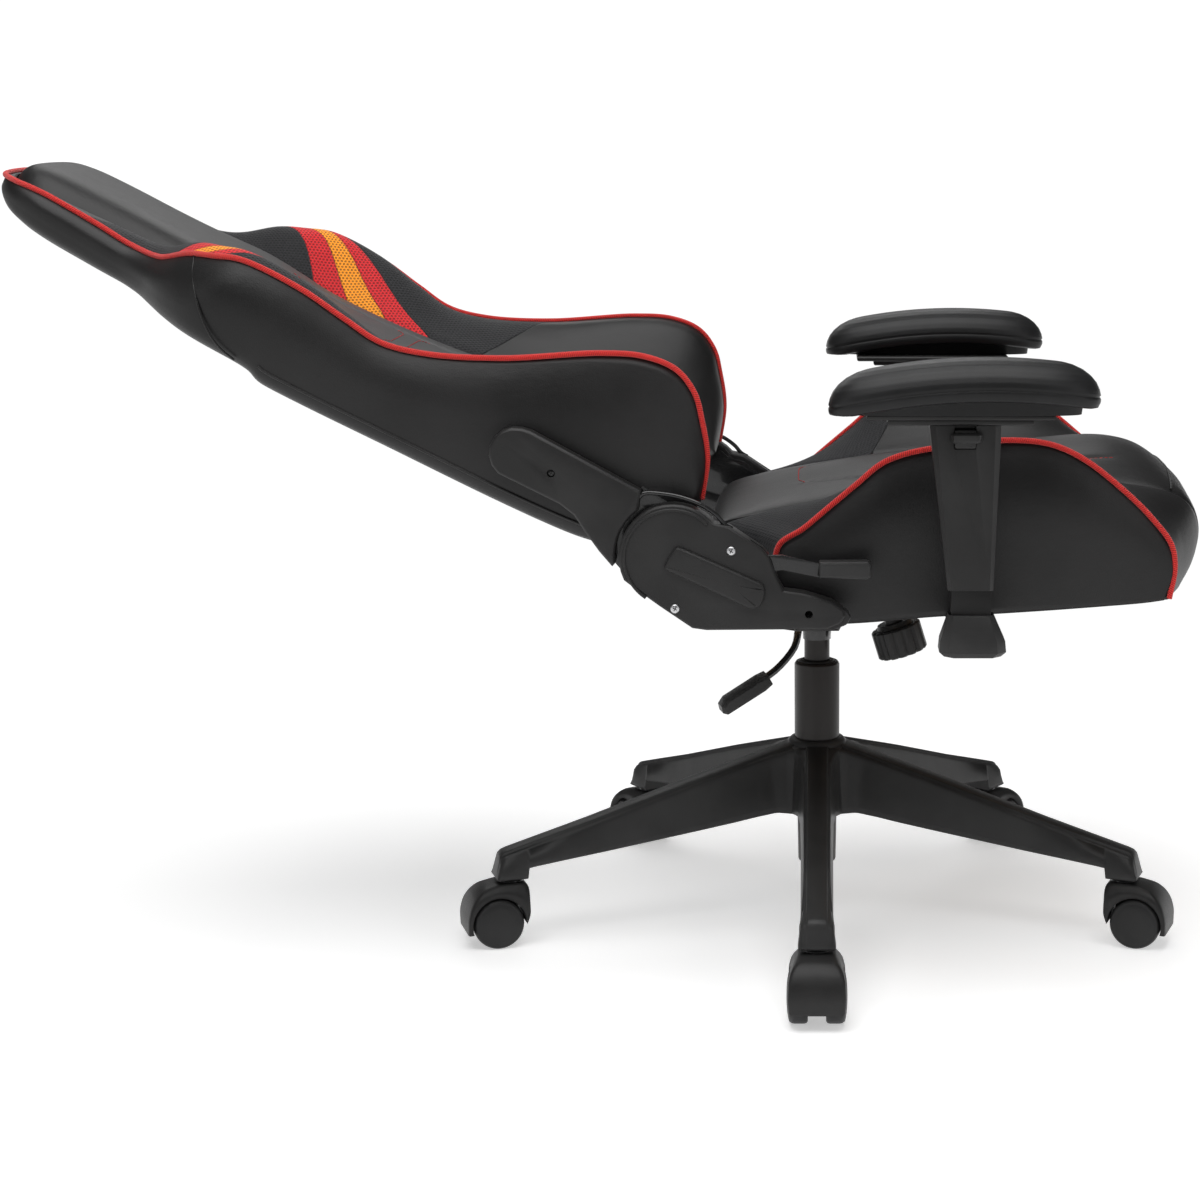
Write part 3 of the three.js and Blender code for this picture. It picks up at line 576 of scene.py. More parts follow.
@dataclass(frozen=True)
class BolsterCloth(Finish):
    """Black perforated cloth at the rear of the seat's bolster, and leatherette in front of a slanted seam."""

    name: str = "bolster_cloth"
    pitch: float = 0.0043
    black: Rgb = (0.012, 0.012, 0.014)
    leather: Leatherette = field(default_factory=Leatherette)
    seam: Band = Band(60, 104)

    def build(self, g: Graph) -> bpy.types.Material:
        """Map `band` has the share from root to piping as u, and metres forward of the column, plus one, as v."""
        band = g.uv("band")
        across, along = g.axis(band, "X"), g.axis(band, "Y")
        past = along - 1.0 - (across * ((self.seam.edge - self.seam.root) * MM) + self.seam.root * MM)
        rim, thread = hole_lattice(g, g.uv("weave"), self.pitch)
        groove = (abs(past) / 0.0011).ramp(0.0, 1.0)
        shade = g.blend(rim, (0.002, 0.002, 0.002), self.black)
        cloth, skin = cloth_and_skin(g, shade, rim, thread, groove, self.leather)
        return g.done(g.node("ShaderNodeMixShader", inputs={0: past.ramp(-0.0004, 0.0004), 1: cloth, 2: skin}))


def sum_of(sockets: list[Socket]) -> Socket:
    """The sum of several sockets."""
    total = sockets[0]
    for one in sockets[1:]:
        total = total + one
    return total


def hole_lattice(g: Graph, uv: Socket, pitch: float) -> tuple[Socket, Socket]:
    """Round holes on a triangular lattice.

    The distance is to the nearer of two square-cornered lattices of cell 1 by root 3, shifted by half a cell.

    Returns:
        The cloth's height from hole to thread, and fine yarn noise.
    """
    tall = math.sqrt(3)
    p = g.vector("MULTIPLY", uv, (1 / pitch, 1 / pitch, 0.0))
    near = []
    for shift in ((0.0, 0.0, 0.0), (0.5, tall / 2, 0.0)):
        cell = g.vector("MODULO", g.vector("ADD", p, shift), (1.0, tall, 1.0))
        near.append(g.vector("DISTANCE", cell, (0.5, tall / 2, 0.0), output="Value"))
    hole = near[0].math("MINIMUM", near[1])
    return hole.ramp(0.20, 0.38, 0.34, 1.0), g.noise(uv, 2600.0, 2.0)


@dataclass(frozen=True)
class PipingCord(Finish):
    """Red piping wrapped in twisted cloth."""

    name: str = "piping_cord"
    light: Rgb = (0.78, 0.026, 0.020)
    dark: Rgb = (0.26, 0.005, 0.005)

    def build(self, g: Graph) -> bpy.types.Material:
        """A slanted twill: a sine of distance along plus turns round, crossed by a finer one."""
        cord = g.uv("cord")
        turn, along = g.axis(cord, "X"), g.axis(cord, "Y")
        twill = (along * (2 * math.pi / 0.0021) + turn * (2 * math.pi * 3)).math("SINE")
        cross = (along * (2 * math.pi / 0.0013) - turn * (2 * math.pi * 5)).math("SINE")
        yarn = twill * 0.32 + cross * 0.18 + 0.5
        tone = g.blend(yarn.ramp(0.05, 0.75), self.dark, self.light)
        fuzz = g.noise(g.place(), 2400.0, 2.0)
        return g.done(g.surface(tone, 0.58 + fuzz * 0.2, g.bump(yarn + fuzz * 0.3, 0.0006, 1.0),
                                Sheen_Weight=0.2, Specular_IOR_Level=0.3))


@dataclass(frozen=True)
class Thread(Finish):
    """Sewing thread."""

    name: str = "red_thread"
    light: Rgb = (0.55, 0.02, 0.015)
    dark: Rgb = (0.25, 0.006, 0.006)

    def build(self, g: Graph) -> bpy.types.Material:
        """Twisted yarn from fine noise."""
        fine = g.noise(g.place(), 3000.0, 2.0)
        tone = g.blend(fine, self.dark, self.light)
        return g.done(g.surface(tone, 0.55 + fine * 0.15, g.bump(fine, 0.0002, 0.6)))


@dataclass(frozen=True)
class Moulded(Finish):
    """Moulded plastic: a spark-eroded grain, slow tone drift, and faint flow marks."""

    name: str = "moulded_plastic"
    dark: Rgb = (0.0170, 0.0166, 0.0166)
    light: Rgb = (0.0250, 0.0245, 0.0245)
    roughness: float = 0.40
    grain: float = 0.00016
    scale: float = 1300.0

    def build(self, g: Graph) -> bpy.types.Material:
        """Fine cells and noise as bump; roughness follows both scales of noise."""
        p = g.place()
        drift = g.noise(p, 14.0, 3.0)
        fine = g.noise(p, self.scale, 2.0)
        flow = g.noise(g.vector("MULTIPLY", p, (1.0, 1.0, 0.25)), 60.0, 3.0)
        tone = g.blend(drift.ramp(0.3, 0.7), self.dark, self.light)
        polish = self.roughness + (fine - 0.5) * 0.16 + (flow - 0.5) * 0.12
        return g.done(g.surface(tone, polish, g.bump(fine, self.grain, 0.9), Specular_IOR_Level=0.24))


@dataclass(frozen=True)
class PaintedSteel(Finish):
    """Gloss powder coat with faint orange peel."""

    name: str = "gloss_steel"
    dark: Rgb = (0.0060, 0.0060, 0.0062)
    light: Rgb = (0.0100, 0.0100, 0.0104)
    roughness: float = 0.20
    coat: float = 0.6

    def build(self, g: Graph) -> bpy.types.Material:
        """Two scales of soft noise as bump under a clear coat."""
        p = g.place()
        peel = g.noise(p, 420.0, 1.0)
        drift = g.noise(p, 20.0, 3.0)
        tone = g.blend(drift, self.dark, self.light)
        return g.done(g.surface(tone, self.roughness + drift * 0.14, g.bump(peel, 0.00012, 0.6),
                                Coat_Weight=self.coat, Coat_Roughness=0.08, Specular_IOR_Level=0.26))


@dataclass(frozen=True)
class PlatedSteel(Finish):
    """Zinc or chrome plate with fine turning marks."""

    name: str = "plated_steel"
    dark: Rgb = (0.42, 0.42, 0.43)
    light: Rgb = (0.68, 0.68, 0.69)
    roughness: float = 0.22

    def build(self, g: Graph) -> bpy.types.Material:
        """Stretched noise for the marks, and a slow drift of tone."""
        p = g.place()
        marks = g.noise(g.vector("MULTIPLY", p, (1.0, 8.0, 1.0)), 900.0, 2.0)
        drift = g.noise(p, 120.0, 3.0)
        return g.done(g.surface(g.blend(drift, self.dark, self.light), self.roughness + marks * 0.18,
                                g.bump(marks, 0.00006, 0.5), Metallic=1.0))


@dataclass(frozen=True)
class Plywood(Finish):
    """Plain plywood board."""

    name: str = "plywood"
    dark: Rgb = (0.22, 0.13, 0.07)
    light: Rgb = (0.46, 0.31, 0.18)

    def build(self, g: Graph) -> bpy.types.Material:
        """Long grain from stretched noise."""
        grain = g.noise(g.vector("MULTIPLY", g.place(), (6.0, 0.4, 6.0)), 60.0, 5.0)
        tone = g.blend(grain, self.dark, self.light)
        return g.done(g.surface(tone, 0.55 + grain * 0.2, g.bump(grain, 0.0002, 0.5)))


@dataclass(frozen=True)
class PaleFloor(Finish):
    """The studio's floor, which glows: a painted glow near the chair lifts the chair's shadow, and the glow rises
    further out so that the floor runs into the backdrop.
    """

    name: str = "pale_floor"
    tone: Rgb = (0.95, 0.95, 0.95)
    near: float = 0.35
    far: float = 1.3

    def build(self, g: Graph) -> bpy.types.Material:
        """Almost even in tone near the chair, where a painted glow of about half white lifts the chair's shadow; the
        glow rises with the distance from the column.
        """
        p = g.place()
        drift = g.noise(p, 1.5, 2.0)
        away = g.vector("LENGTH", p, (0.0, 0.0, 0.0), output="Value").ramp(self.near, self.far)
        tone = g.blend(away, g.blend(drift, self.tone, tuple(c * 0.985 for c in self.tone)), (0.0, 0.0, 0.0))
        glow = g.blend(away, (0.46, 0.46, 0.46), (1.01, 1.01, 1.01))
        return g.done(g.surface(tone, 0.8, Emission_Color=glow, Emission_Strength=1.0, Specular_IOR_Level=0.1))


class Slot(Enum):
    """The record's material slots."""

    LEATHERETTE = "leatherette"
    PLASTIC = "black_plastic"
    PAD = "armrest_pu"
    STEEL = "black_steel"
    TUBE = "tube_steel"
    BARE = "bare_steel"
    PLY = "seat_ply"


LEATHER = Leatherette()
PLASTIC = Moulded()
SATIN = Moulded("satin_plastic", (0.0230, 0.0228, 0.0228), (0.0320, 0.0317, 0.0317), 0.40, 0.00008, 1700.0)
PAD_SKIN = Moulded("pad_skin", (0.0080, 0.0080, 0.0082), (0.0125, 0.0125, 0.0130), 0.40, 0.00014, 900.0)
WHEEL = Moulded("wheel_rubber", (0.0180, 0.0180, 0.0182), (0.0260, 0.0260, 0.0264), 0.46, 0.00010, 700.0)
GLOSS = PaintedSteel()
TUBE_STEEL = PaintedSteel("tube_paint", (0.0080, 0.0058, 0.0050), (0.0130, 0.0098, 0.0086), 0.34, 0.10)
MATT_STEEL = PaintedSteel("matt_steel", (0.0080, 0.0078, 0.0078), (0.0120, 0.0118, 0.0118), 0.46, 0.0)
PLATED = PlatedSteel()


# ---------------------------------------------------------------- attaching

def settle(piece: bpy.types.Object, body: str, slot: Slot, finish: Finish | None = None,
           replaces: Sequence[str] = ()) -> bpy.types.Object:
    """Gives a piece its body and finish.

    Args:
        piece: the new piece.
        body: the CAD body it rides on.
        slot: the record's slot its finish comes from; not used.
        finish: its material, unless it is dressed already.
        replaces: CAD nodes it stands for.
    Returns:
        The piece.
    """
    if finish is not None:
        finish.dress(piece)
    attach(piece, body)
    if replaces:
        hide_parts(*replaces)
    log.info("%s rides on %s: %d faces", piece.name, body, len(piece.data.polygons))
    return piece


def casting(node: str, body: str, slot: Slot, finish: Finish, rim: float = 1.0, angle: float = 32.0,
            segments: int = 3) -> bpy.types.Object:
    """A softened stand-in for a CAD node: its mesh merged, flat faces joined, and every hard edge rounded.

    Args:
        node: the CAD node.
        body: the body it rides on.
        slot: the record's slot; not used.
        finish: its material.
        rim: the edge radius in mm.
        angle: edges that turn by more than this, in degrees, are rounded.
        segments: steps in each rounded edge.
    Returns:
        The new piece, which replaces the node.
    """
    source = frame["nodes"][node]
    mesh = source.data.copy()
    mesh.materials.clear()
    shape = bmesh.new()
    shape.from_mesh(mesh)
    bmesh.ops.remove_doubles(shape, verts=shape.verts, dist=2e-6)
    bmesh.ops.dissolve_limit(shape, angle_limit=math.radians(0.6), verts=shape.verts, edges=shape.edges)
    shape.to_mesh(mesh)
    shape.free()
    mesh.polygons.foreach_set("use_smooth", np.ones(len(mesh.polygons), dtype=bool))
    made = bpy.data.objects.new(f"{node}_skin", mesh)
    bpy.context.scene.collection.objects.link(made)
    edge = made.modifiers.new("rim", "BEVEL")
    edge.width, edge.segments, edge.limit_method = rim * MM, segments, "ANGLE"
    edge.angle_limit, edge.harden_normals, edge.miter_outer = math.radians(angle), True, "MITER_ARC"
    return settle(made, body, slot, finish, [node])


# ---------------------------------------------------------------- back rest

@dataclass
class BackRest:
    """The back: a raised middle cushion between two winged, piped bolsters that meet over the head."""

    middle: Points = ((58, 49), (110, 52), (180, 50), (260, 46), (320, 40), (370, 37), (420, 36),
                      (470, 38), (505, 43), (545, 48), (590, 49), (640, 50), (700, 52), (750, 52),
                      (770, 49), (781, 43), (788.5, 35), (793, 28))
    edge: Points = ((-2, 57), (11.5, 98.5), (33, 131), (51, 152), (77, 165), (111, 163), (151, 147),
                    (238, 98.5), (308, 69), (353, 60), (394, 66), (448, 75), (509, 75), (537, 65),
                    (563, 54), (594, 33), (629, 27), (672, 30), (733, 34), (767, 31.5), (787, 28.5),
                    (797, 26))
    root: Points = ((-2, 55), (30, 50), (60, 52), (105, 53), (165, 50), (238, 44), (290, 36), (353, 29),
                    (412, 25), (456, 20), (490, 22), (525, 28), (560, 31), (600, 31), (636, 34), (695, 33),
                    (740, 32), (787, 28), (797, 26))
    rear: Points = ((-2, 52), (10, 20), (55, -20), (90, -30), (440, -30), (449, -28), (460, -23),
                    (540, -18), (596, -14), (665, -12), (737, -5), (762, 2), (776, 10), (788, 19),
                    (797, 25))
    outline: Points = ((-2, 236), (30, 246), (80, 250), (180, 246), (300, 240), (400, 246), (470, 251),
                       (510, 249), (537, 240), (563, 222), (585, 199), (605, 177), (630, 161), (672, 153),
                       (720, 151), (745, 147), (767, 138), (784, 116), (792.5, 72), (796.6, 20), (797, 0))
    inner: Points = ((-2, 152), (100, 154), (250, 160), (400, 164), (480, 163), (540, 150), (580, 134),
                     (615, 121), (660, 117), (720, 119), (752, 115), (772, 102), (784, 78), (790.5, 42),
                     (792.4, 12), (792.5, 0))
    foot: float = 58.0
    crown: float = 797.0
    gap: float = 0.8
    belly: float = 17.0
    belly_turn: float = 0.45
    rear_corner: float = 16.0
    side_flat: float = 0.8
    panel_half: float = 62.0
    puff: Points = ((-2, 3), (200, 4), (330, 6), (400, 12), (450, 17), (520, 19), (570, 17), (610, 9),
                    (660, 3), (787, 1))
    bolster_swell: Points = ((0, 0), (0.28, 0.30), (0.57, 0.66), (0.82, 0.92), (1, 1))
    piping_radius: float = 2.9

    def __post_init__(self) -> None:
        """Turns the driving points into smooth functions of the height up the back."""
        self.front_at, self.root_at = graph_of(self.middle), graph_of(self.root)
        self.edge_at = graph_of(self.edge)
        self.puff_at = graph_of(self.puff)
        self.rear_at, self.swell_at = graph_of(self.rear), graph_of(self.bolster_swell)
        line = smooth_line(self.outline, 700)
        self.width_at = lambda s: np.interp(s, line[:, 0], line[:, 1])
        seam = smooth_line(self.inner, 700)
        self.inner_at = lambda s: np.interp(s, seam[:, 0], seam[:, 1])
        self.outline_path = line

    def belly_at(self, share: Array) -> Array:
        """How far the outer side stands proud at a share of its depth: a parabola, then easing in."""
        swell = 1 - (1 - np.clip(share / self.belly_turn, 0, 1)) ** 2
        ease = np.clip((share - self.belly_turn) / (1 - self.belly_turn), 0, 1) ** 2
        return self.belly * swell * (1 - 0.8 * ease)

    def front_of(self, s: Array, x: Array) -> Array:
        """The middle cushion's front at a share x of its half width: front - drop * |x|^7 - 2.5 * x^2."""
        drop = np.maximum(self.front_at(s) - self.root_at(s), 0) + 6.0
        return self.front_at(s) - np.abs(x) ** 7 * drop - 2.5 * x**2

    def heights(self, low: float, high: float, even: int, close: int) -> Array:
        """Heights up the back: evenly spaced, then drawing together towards the top as a cosine."""
        knee = high - 44
        near_top = knee + (high - knee) * np.sin(np.linspace(0, math.pi / 2, close + 1)[1:])
        return np.concatenate([np.linspace(low, knee, even), near_top])

    def wing(self, side: Side) -> bpy.types.Object:
        """One winged bolster, from below the seat to the middle of the head.

        Each ring runs across the front from the inner seam to the piping, round the outer side, and back along
        the rear. The front rises from seam to piping as root + (edge - root) * swell(k); the outer side is a half
        ellipse that stands a little proud; the rear is flat with a rounded corner.
        """
        s = self.heights(-2, self.crown - 0.4, 230, 40)[:, None]
        width, inner = self.width_at(s), np.minimum(self.inner_at(s) + self.gap, self.width_at(s) - 0.5)
        root, edge, rear = self.root_at(s), self.edge_at(s), self.rear_at(s)
        thick = np.maximum(edge - rear, 0.6)
        k = np.linspace(0, 1, 34)[None, :]
        rounding = 4.0 * (1 - eased(k * (width - inner), 0, 9)) * eased(thick, 2, 30)
        puff = self.puff_at(s) * np.sin(math.pi * k ** 1.25) * eased(thick, 10, 40)
        front_t = inner + (width - inner) * k
        front_n = root + (edge - root) * self.swell_at(k) - rounding + puff
        c = np.linspace(0, 1, 22)[None, 1:]
        belly = self.belly_at(c) * eased(thick, 5, 60)
        corner = self.rear_corner * eased(thick, 5, 50)
        turn = np.clip((c - self.side_flat) / (1 - self.side_flat), 0, 1)
        side_t = width + belly - corner * (1 - np.cos(turn * math.pi / 2))
        side_n = edge - thick * np.where(c < self.side_flat, c / self.side_flat * (1 - corner / thick),
                                         1 - corner / thick * (1 - np.sin(turn * math.pi / 2)))
        r = np.linspace(0, 1, 16)[None, 1:]
        rear_t = (width - corner) + (inner - (width - corner)) * r
        rear_n = rear - 3.0 * np.sin(math.pi * r) * eased(thick, 10, 40) + 0 * rear_t
        wall = np.linspace(0, 1, 6)[None, 1:]
        wall_t = inner + 0 * wall
        wall_n = rear + (front_n[:, :1] - rear) * wall
        t = np.concatenate([front_t, side_t, rear_t, wall_t], axis=1)
        n = np.concatenate([front_n, side_n, rear_n, wall_n], axis=1)
        rings = SPACE.on_back(n, s + 0 * n, side.value * t)
        across = np.concatenate([k + 0 * s, np.full((len(s), n.shape[1] - k.shape[1]), 1.0)], axis=1)
        band = np.stack([across, (s + 0 * n) * MM], axis=-1)
        zones = np.zeros((len(s) - 1, n.shape[1] - 1), dtype=int)
        zones[:, :k.shape[1] - 1] = 1
        made = ring_body(f"back_wing_{side.word}", rings, {"weave": lengths_map(rings), "band": band}, zones)
        LEATHER.dress(made, 0)
        WingCloth().dress(made, 1)
        return settle(made, "back", Slot.LEATHERETTE, None, [f"back_bolster_{side.word}"])

    def cushion(self) -> bpy.types.Object:
        """The middle cushion: each ring runs over the crowned front and back along the rear panel.

        The front is broad and rolls under at its seams, and the two sewn channels are narrow Gaussian valleys.
        """
        s = self.heights(self.foot, self.crown - 4.7, 230, 36)[:, None]
        half = np.maximum(self.inner_at(s) - self.gap, 0.4)
        rear = self.rear_at(s)
        x = np.sin(np.linspace(-1, 1, 71) * math.pi / 2)[None, :]
        end = 12.0 * (1 - np.sqrt(np.clip((s - self.foot) / 16, 0, 1)))
        front_n = self.front_of(s, x) - end
        front_t = half * x
        r = np.linspace(1, -1, 31)[None, 1:-1]
        rear_t = half * r
        rear_n = rear - 2.5 * np.cos(r * math.pi / 2) + 0 * rear_t
        t = np.concatenate([front_t, rear_t, front_t[:, :1]], axis=1)
        n = np.concatenate([front_n, rear_n, front_n[:, :1]], axis=1)
        n = n - self.channels(s, t) * (np.arange(n.shape[1]) < x.shape[1])
        rings = SPACE.on_back(n, s + 0 * n, t)
        made = ring_body("back_cushion", rings, {"weave": lengths_map(rings)})
        return settle(made, "back", Slot.LEATHERETTE, LEATHER, ["back_core"])

    def channels(self, s: Array, t: Array) -> Array:
        """Depth of the sewn channels beside the middle panel: Gaussian valleys from 60 to 500 mm up."""
        along = eased(s, 60, 110) * (1 - eased(s, 480, 505))
        return 2.6 * np.exp(-((np.abs(t) - self.panel_half) / 3.2) ** 2) * along

    def piping(self) -> bpy.types.Object:
        """Red piping from the foot of one wing, over the head, to the foot of the other."""
        half = self.outline_path
        s = np.concatenate([half[:, 0], half[-2::-1, 0]])
        t = np.concatenate([half[:, 1], -half[-2::-1, 1]])
        points = SPACE.on_back(self.edge_at(s) + 0.9, s + 0.6 * eased(s, 740, self.crown), t + np.sign(t) * 1.2)
        made = tube("back_piping", respaced(points, 720), self.piping_radius * MM, 12)
        return settle(made, "back", Slot.LEATHERETTE, PipingCord())

    def stitches(self) -> bpy.types.Object:
        """Red stitching down both sides of the middle panel and round its lower corners."""
        rows = []
        for sign in (1, -1):
            beside = sign * self.panel_half
            upper = [(505, beside), (440, beside), (395, beside), (376, sign * 58), (366, sign * 44)]
            lower = [(348, sign * 44), (338, sign * 58), (320, beside), (200, beside), (80, beside)]
            rows += [smooth_line(upper, 120), smooth_line(lower, 160)]
        across = np.linspace(44, -44, 21)
        rows += [np.stack([np.full_like(across, height), across], axis=1) for height in (366, 348)]
        places = []
        for row in rows:
            s, t = row[:, 0], row[:, 1]
            x = t / (self.inner_at(s) - self.gap)
            places.append(SPACE.on_back(self.front_of(s, x) - self.channels(s, t) + 0.25, s, t))
        made = stitch_rows("back_stitches", places)
        return settle(made, "back", Slot.LEATHERETTE, Thread())

    def side_seam(self, side: Side) -> bpy.types.Object:
        """The welt down the outer side of a wing, from the piping to the rear corner."""
        line = smooth_line([(556, 56), (546, 40), (530, 21), (508, 0), (490, -11), (474, -16)], 60)
        s, n = line[:, 0], line[:, 1]
        share = (self.edge_at(s) - n) / (self.edge_at(s) - self.rear_at(s))
        belly = self.belly_at(share * self.side_flat) + 0.9
        t = self.width_at(s) + belly - 12 * np.clip((share - 0.85) / 0.15, 0, 1) ** 2
        made = tube(f"back_welt_{side.word}", SPACE.on_back(n, s, side.value * (t - 0.3)), 1.1 * MM, 8)
        return settle(made, "back", Slot.LEATHERETTE, LEATHER)

    def rear_welt(self, side: Side) -> bpy.types.Object:
        """The zip's welt, low on the outer side, where it turns to the rear."""
        s = np.linspace(84, 450, 120)
        n = self.rear_at(s) + self.rear_corner + 0.5
        t = self.width_at(s) + self.belly_at(np.array(self.side_flat)) + 0.3
        made = tube(f"back_zip_{side.word}", SPACE.on_back(n, s, side.value * t), 1.5 * MM, 8)
        return settle(made, "back", Slot.LEATHERETTE, PLASTIC)

    def build(self) -> None:
        """Makes every piece of the back."""
        for side in Side:
            self.wing(side)
            self.rear_welt(side)
            self.side_seam(side)
        self.cushion()
        self.piping()
        self.stitches()


def stitch_rows(name: str, rows: list[Array], pitch: float = 0.0052, length: float = 0.0036,
                radius: float = 0.0006) -> bpy.types.Object:
    """Rows of stitches: short round-ended threads along each row, one every pitch.

    Each stitch is three rings of five places between two poles, laid along the row's direction and thinner at
    its ends; all of them are worked out together.
    """
    starts, ways = [], []
    for row in rows:
        total = np.linalg.norm(np.diff(row, axis=0), axis=1).sum()
        even = respaced(row, max(3, int(total / pitch)))
        starts.append(even[:-1])
        ways.append(np.diff(even, axis=0))
    start, way = np.concatenate(starts), np.concatenate(ways)
    way /= np.linalg.norm(way, axis=1, keepdims=True)
    helper = np.array([0.31, 0.42, 0.85])
    one = np.cross(way, helper)
    one /= np.linalg.norm(one, axis=1, keepdims=True)
    two = np.cross(way, one)
    sides = 5
    turn = np.arange(sides) * 2 * math.pi / sides
    share = np.array([0.06, 0.5, 0.94])
    wide = np.array([0.6, 1.0, 0.6]) * radius
    round_it = one[:, None, None] * np.cos(turn)[:, None] + two[:, None, None] * np.sin(turn)[:, None]
    ring = (start[:, None, None] + way[:, None, None] * (share * length)[:, None, None]
            + wide[:, None, None] * round_it)
    poles = np.stack([start, start + way * length], axis=1)
    count = len(start)
    vertices = np.concatenate([ring.reshape(count, -1, 3), poles], axis=1)
    each = 3 * sides + 2
    j = np.arange(sides)
    k = (j + 1) % sides
    quads = np.concatenate([np.stack([row * sides + j, row * sides + k, (row + 1) * sides + k,
                                      (row + 1) * sides + j], axis=1) for row in (0, 1)])
    ends = np.concatenate([np.stack([k, j, np.full(sides, 3 * sides)], axis=1),
                           np.stack([2 * sides + j, 2 * sides + k, np.full(sides, 3 * sides + 1)], axis=1)])
    offset = (np.arange(count) * each)[:, None, None]
    faces = (quads[None] + offset).reshape(-1, 4).tolist() + (ends[None] + offset).reshape(-1, 3).tolist()
    return new_object(name, vertices.reshape(-1, 3), faces)


# ---------------------------------------------------------------- seat

@dataclass
class SeatCushions:
    """The seat: a crowned middle cushion with a rolled front, and a piped bolster down each side."""

    centre: Points = ((-110, 404), (-116, 430), (-114, 456), (-101, 474), (-68, 487), (-20, 499),
                      (40, 511), (100, 520), (165, 527), (211, 532), (260, 537), (300, 540), (326, 538),
                      (350, 531), (372, 516.5), (390, 499), (398, 478), (405, 460), (404, 442), (397, 422),
                      (386, 404))
    root: Points = ((-104, 404), (-112, 430), (-112, 452), (-101, 468), (-72, 478), (-30, 486), (20, 492),
                    (60, 497), (100, 500), (165, 503), (211, 506), (260, 508), (312, 509), (345, 507),
                    (366, 503), (384, 495), (394, 482), (398, 462), (396, 442), (390, 422), (380, 404))
    crest: Points = ((-34, 404), (-42, 430), (-38, 459), (-14, 475.5), (14.5, 499.5), (40, 521), (64, 541),
                     (88, 551), (130, 559), (190, 565), (233, 561), (267, 546), (307, 515), (335, 488),
                     (357, 459), (361, 435), (356, 404))
    nose: Points = ((0, 0), (50, 0.5), (130, 9), (150, 13), (205, 33), (244, 52), (255, 58))
    bottom: Points = ((-60, 376), (39, 380), (123, 387), (176, 389.5), (291, 397), (338, 400.5),
                      (358, 403))
    half: float = 150.0
    crest_right: float = 244.0
    floor: float = 402.0
    piping_radius: float = 2.9
    stations: int = 170
    front_share: float = 0.823

    def __post_init__(self) -> None:
        """Spaces the driving lines evenly."""
        self.centre_line = smooth_line(self.centre, self.stations)
        self.root_line = smooth_line(self.root, self.stations)
        self.crest_line = smooth_line(self.crest, self.stations)
        self.nose_at = graph_of(self.nose)
        self.bottom_at = graph_of(self.bottom)

    def rounded_front(self, forward: Array, right: Array, fixed: float = 0.0) -> Array:
        """Pulls the front back towards the sides: forward - nose(|right|), less what the line already has."""
        pull = self.nose_at(np.abs(right)) - fixed
        return forward - pull * eased(forward, 250, 400)

    def top_at(self, share: Array, right: Array) -> tuple[Array, Array]:
        """Forward and up on the cushion at a share of its length and a distance from the middle.

        It blends the centre and root lines by (1 - x^2)^0.85 with x the share of half width, and rolls down a few
        millimetres at the seams.
        """
        place = share * (self.stations - 1)
        pick = lambda line, c: np.interp(place, np.arange(self.stations), line[:, c])
        x = np.clip(np.abs(right) / self.half, 0, 1)
        lift = np.clip(1 - x**2, 0, 1) ** 0.85
        forward = pick(self.root_line, 0) * (1 - lift) + pick(self.centre_line, 0) * lift
        up = pick(self.root_line, 1) * (1 - lift) + pick(self.centre_line, 1) * lift
        return self.rounded_front(forward, right, 13.0 * (1 - lift)), up

    def cushion(self) -> bpy.types.Object:
        """The middle cushion: each ring runs along its top, at one distance from the middle, and back under."""
        x = np.sin(np.linspace(-1, 1, 91) * math.pi / 2)[:, None]
        right = x * (self.half - 0.6)
        share = np.linspace(0, 1, self.stations)[None, :]
        forward, up = self.top_at(share + 0 * right, right + 0 * share)
        inset = 5.0 * (1 - np.sqrt(np.clip(1 - np.abs(x) ** 12, 0, 1)))
        up = up - inset * eased(up, 455, 490)
        up = up - self.channel_depth(forward, right)
        under = np.linspace(1, 0, 24)[None, 1:]
        low_f = forward[:, :1] + (forward[:, -1:] - forward[:, :1]) * under
        low_u = up[:, :1] + (up[:, -1:] - up[:, :1]) * under
        f = np.concatenate([forward, low_f], axis=1)
        u = np.concatenate([up, low_u], axis=1)
        rings = SPACE.at(f, u, right + 0 * f)
        made = ring_body("seat_cushion_cover", rings, {"weave": lengths_map(rings)})
        return settle(made, "seat", Slot.LEATHERETTE, LEATHER, ["seat_cushion"])

    def front_seam(self) -> bpy.types.Object:
        """The sunk seam across the cushion where its top meets its front panel."""
        right = np.linspace(-0.985, 0.985, 120) * self.half
        share = np.full_like(right, self.front_share)
        f, u = self.top_at(share, right)
        made = tube("seat_front_seam", SPACE.at(f + 0.1, u + 0.1, right), 0.9 * MM, 8)
        return settle(made, "seat", Slot.LEATHERETTE, LEATHER)

    def panel_half(self, forward: Array) -> Array:
        """Half width of the sewn middle panel: 62 mm at the rear, opening to 92 mm further forward."""
        return 62 + 30 * eased(forward, -30, 80)

    def channel_depth(self, forward: Array, right: Array) -> Array:
        """The sewn channel beside the panel: a Gaussian valley round |right| = its half width."""
        along = eased(forward, -30, -14) * (1 - eased(forward, 290, 330))
        return 2.4 * np.exp(-((np.abs(right) - self.panel_half(forward)) / 3.0) ** 2) * along

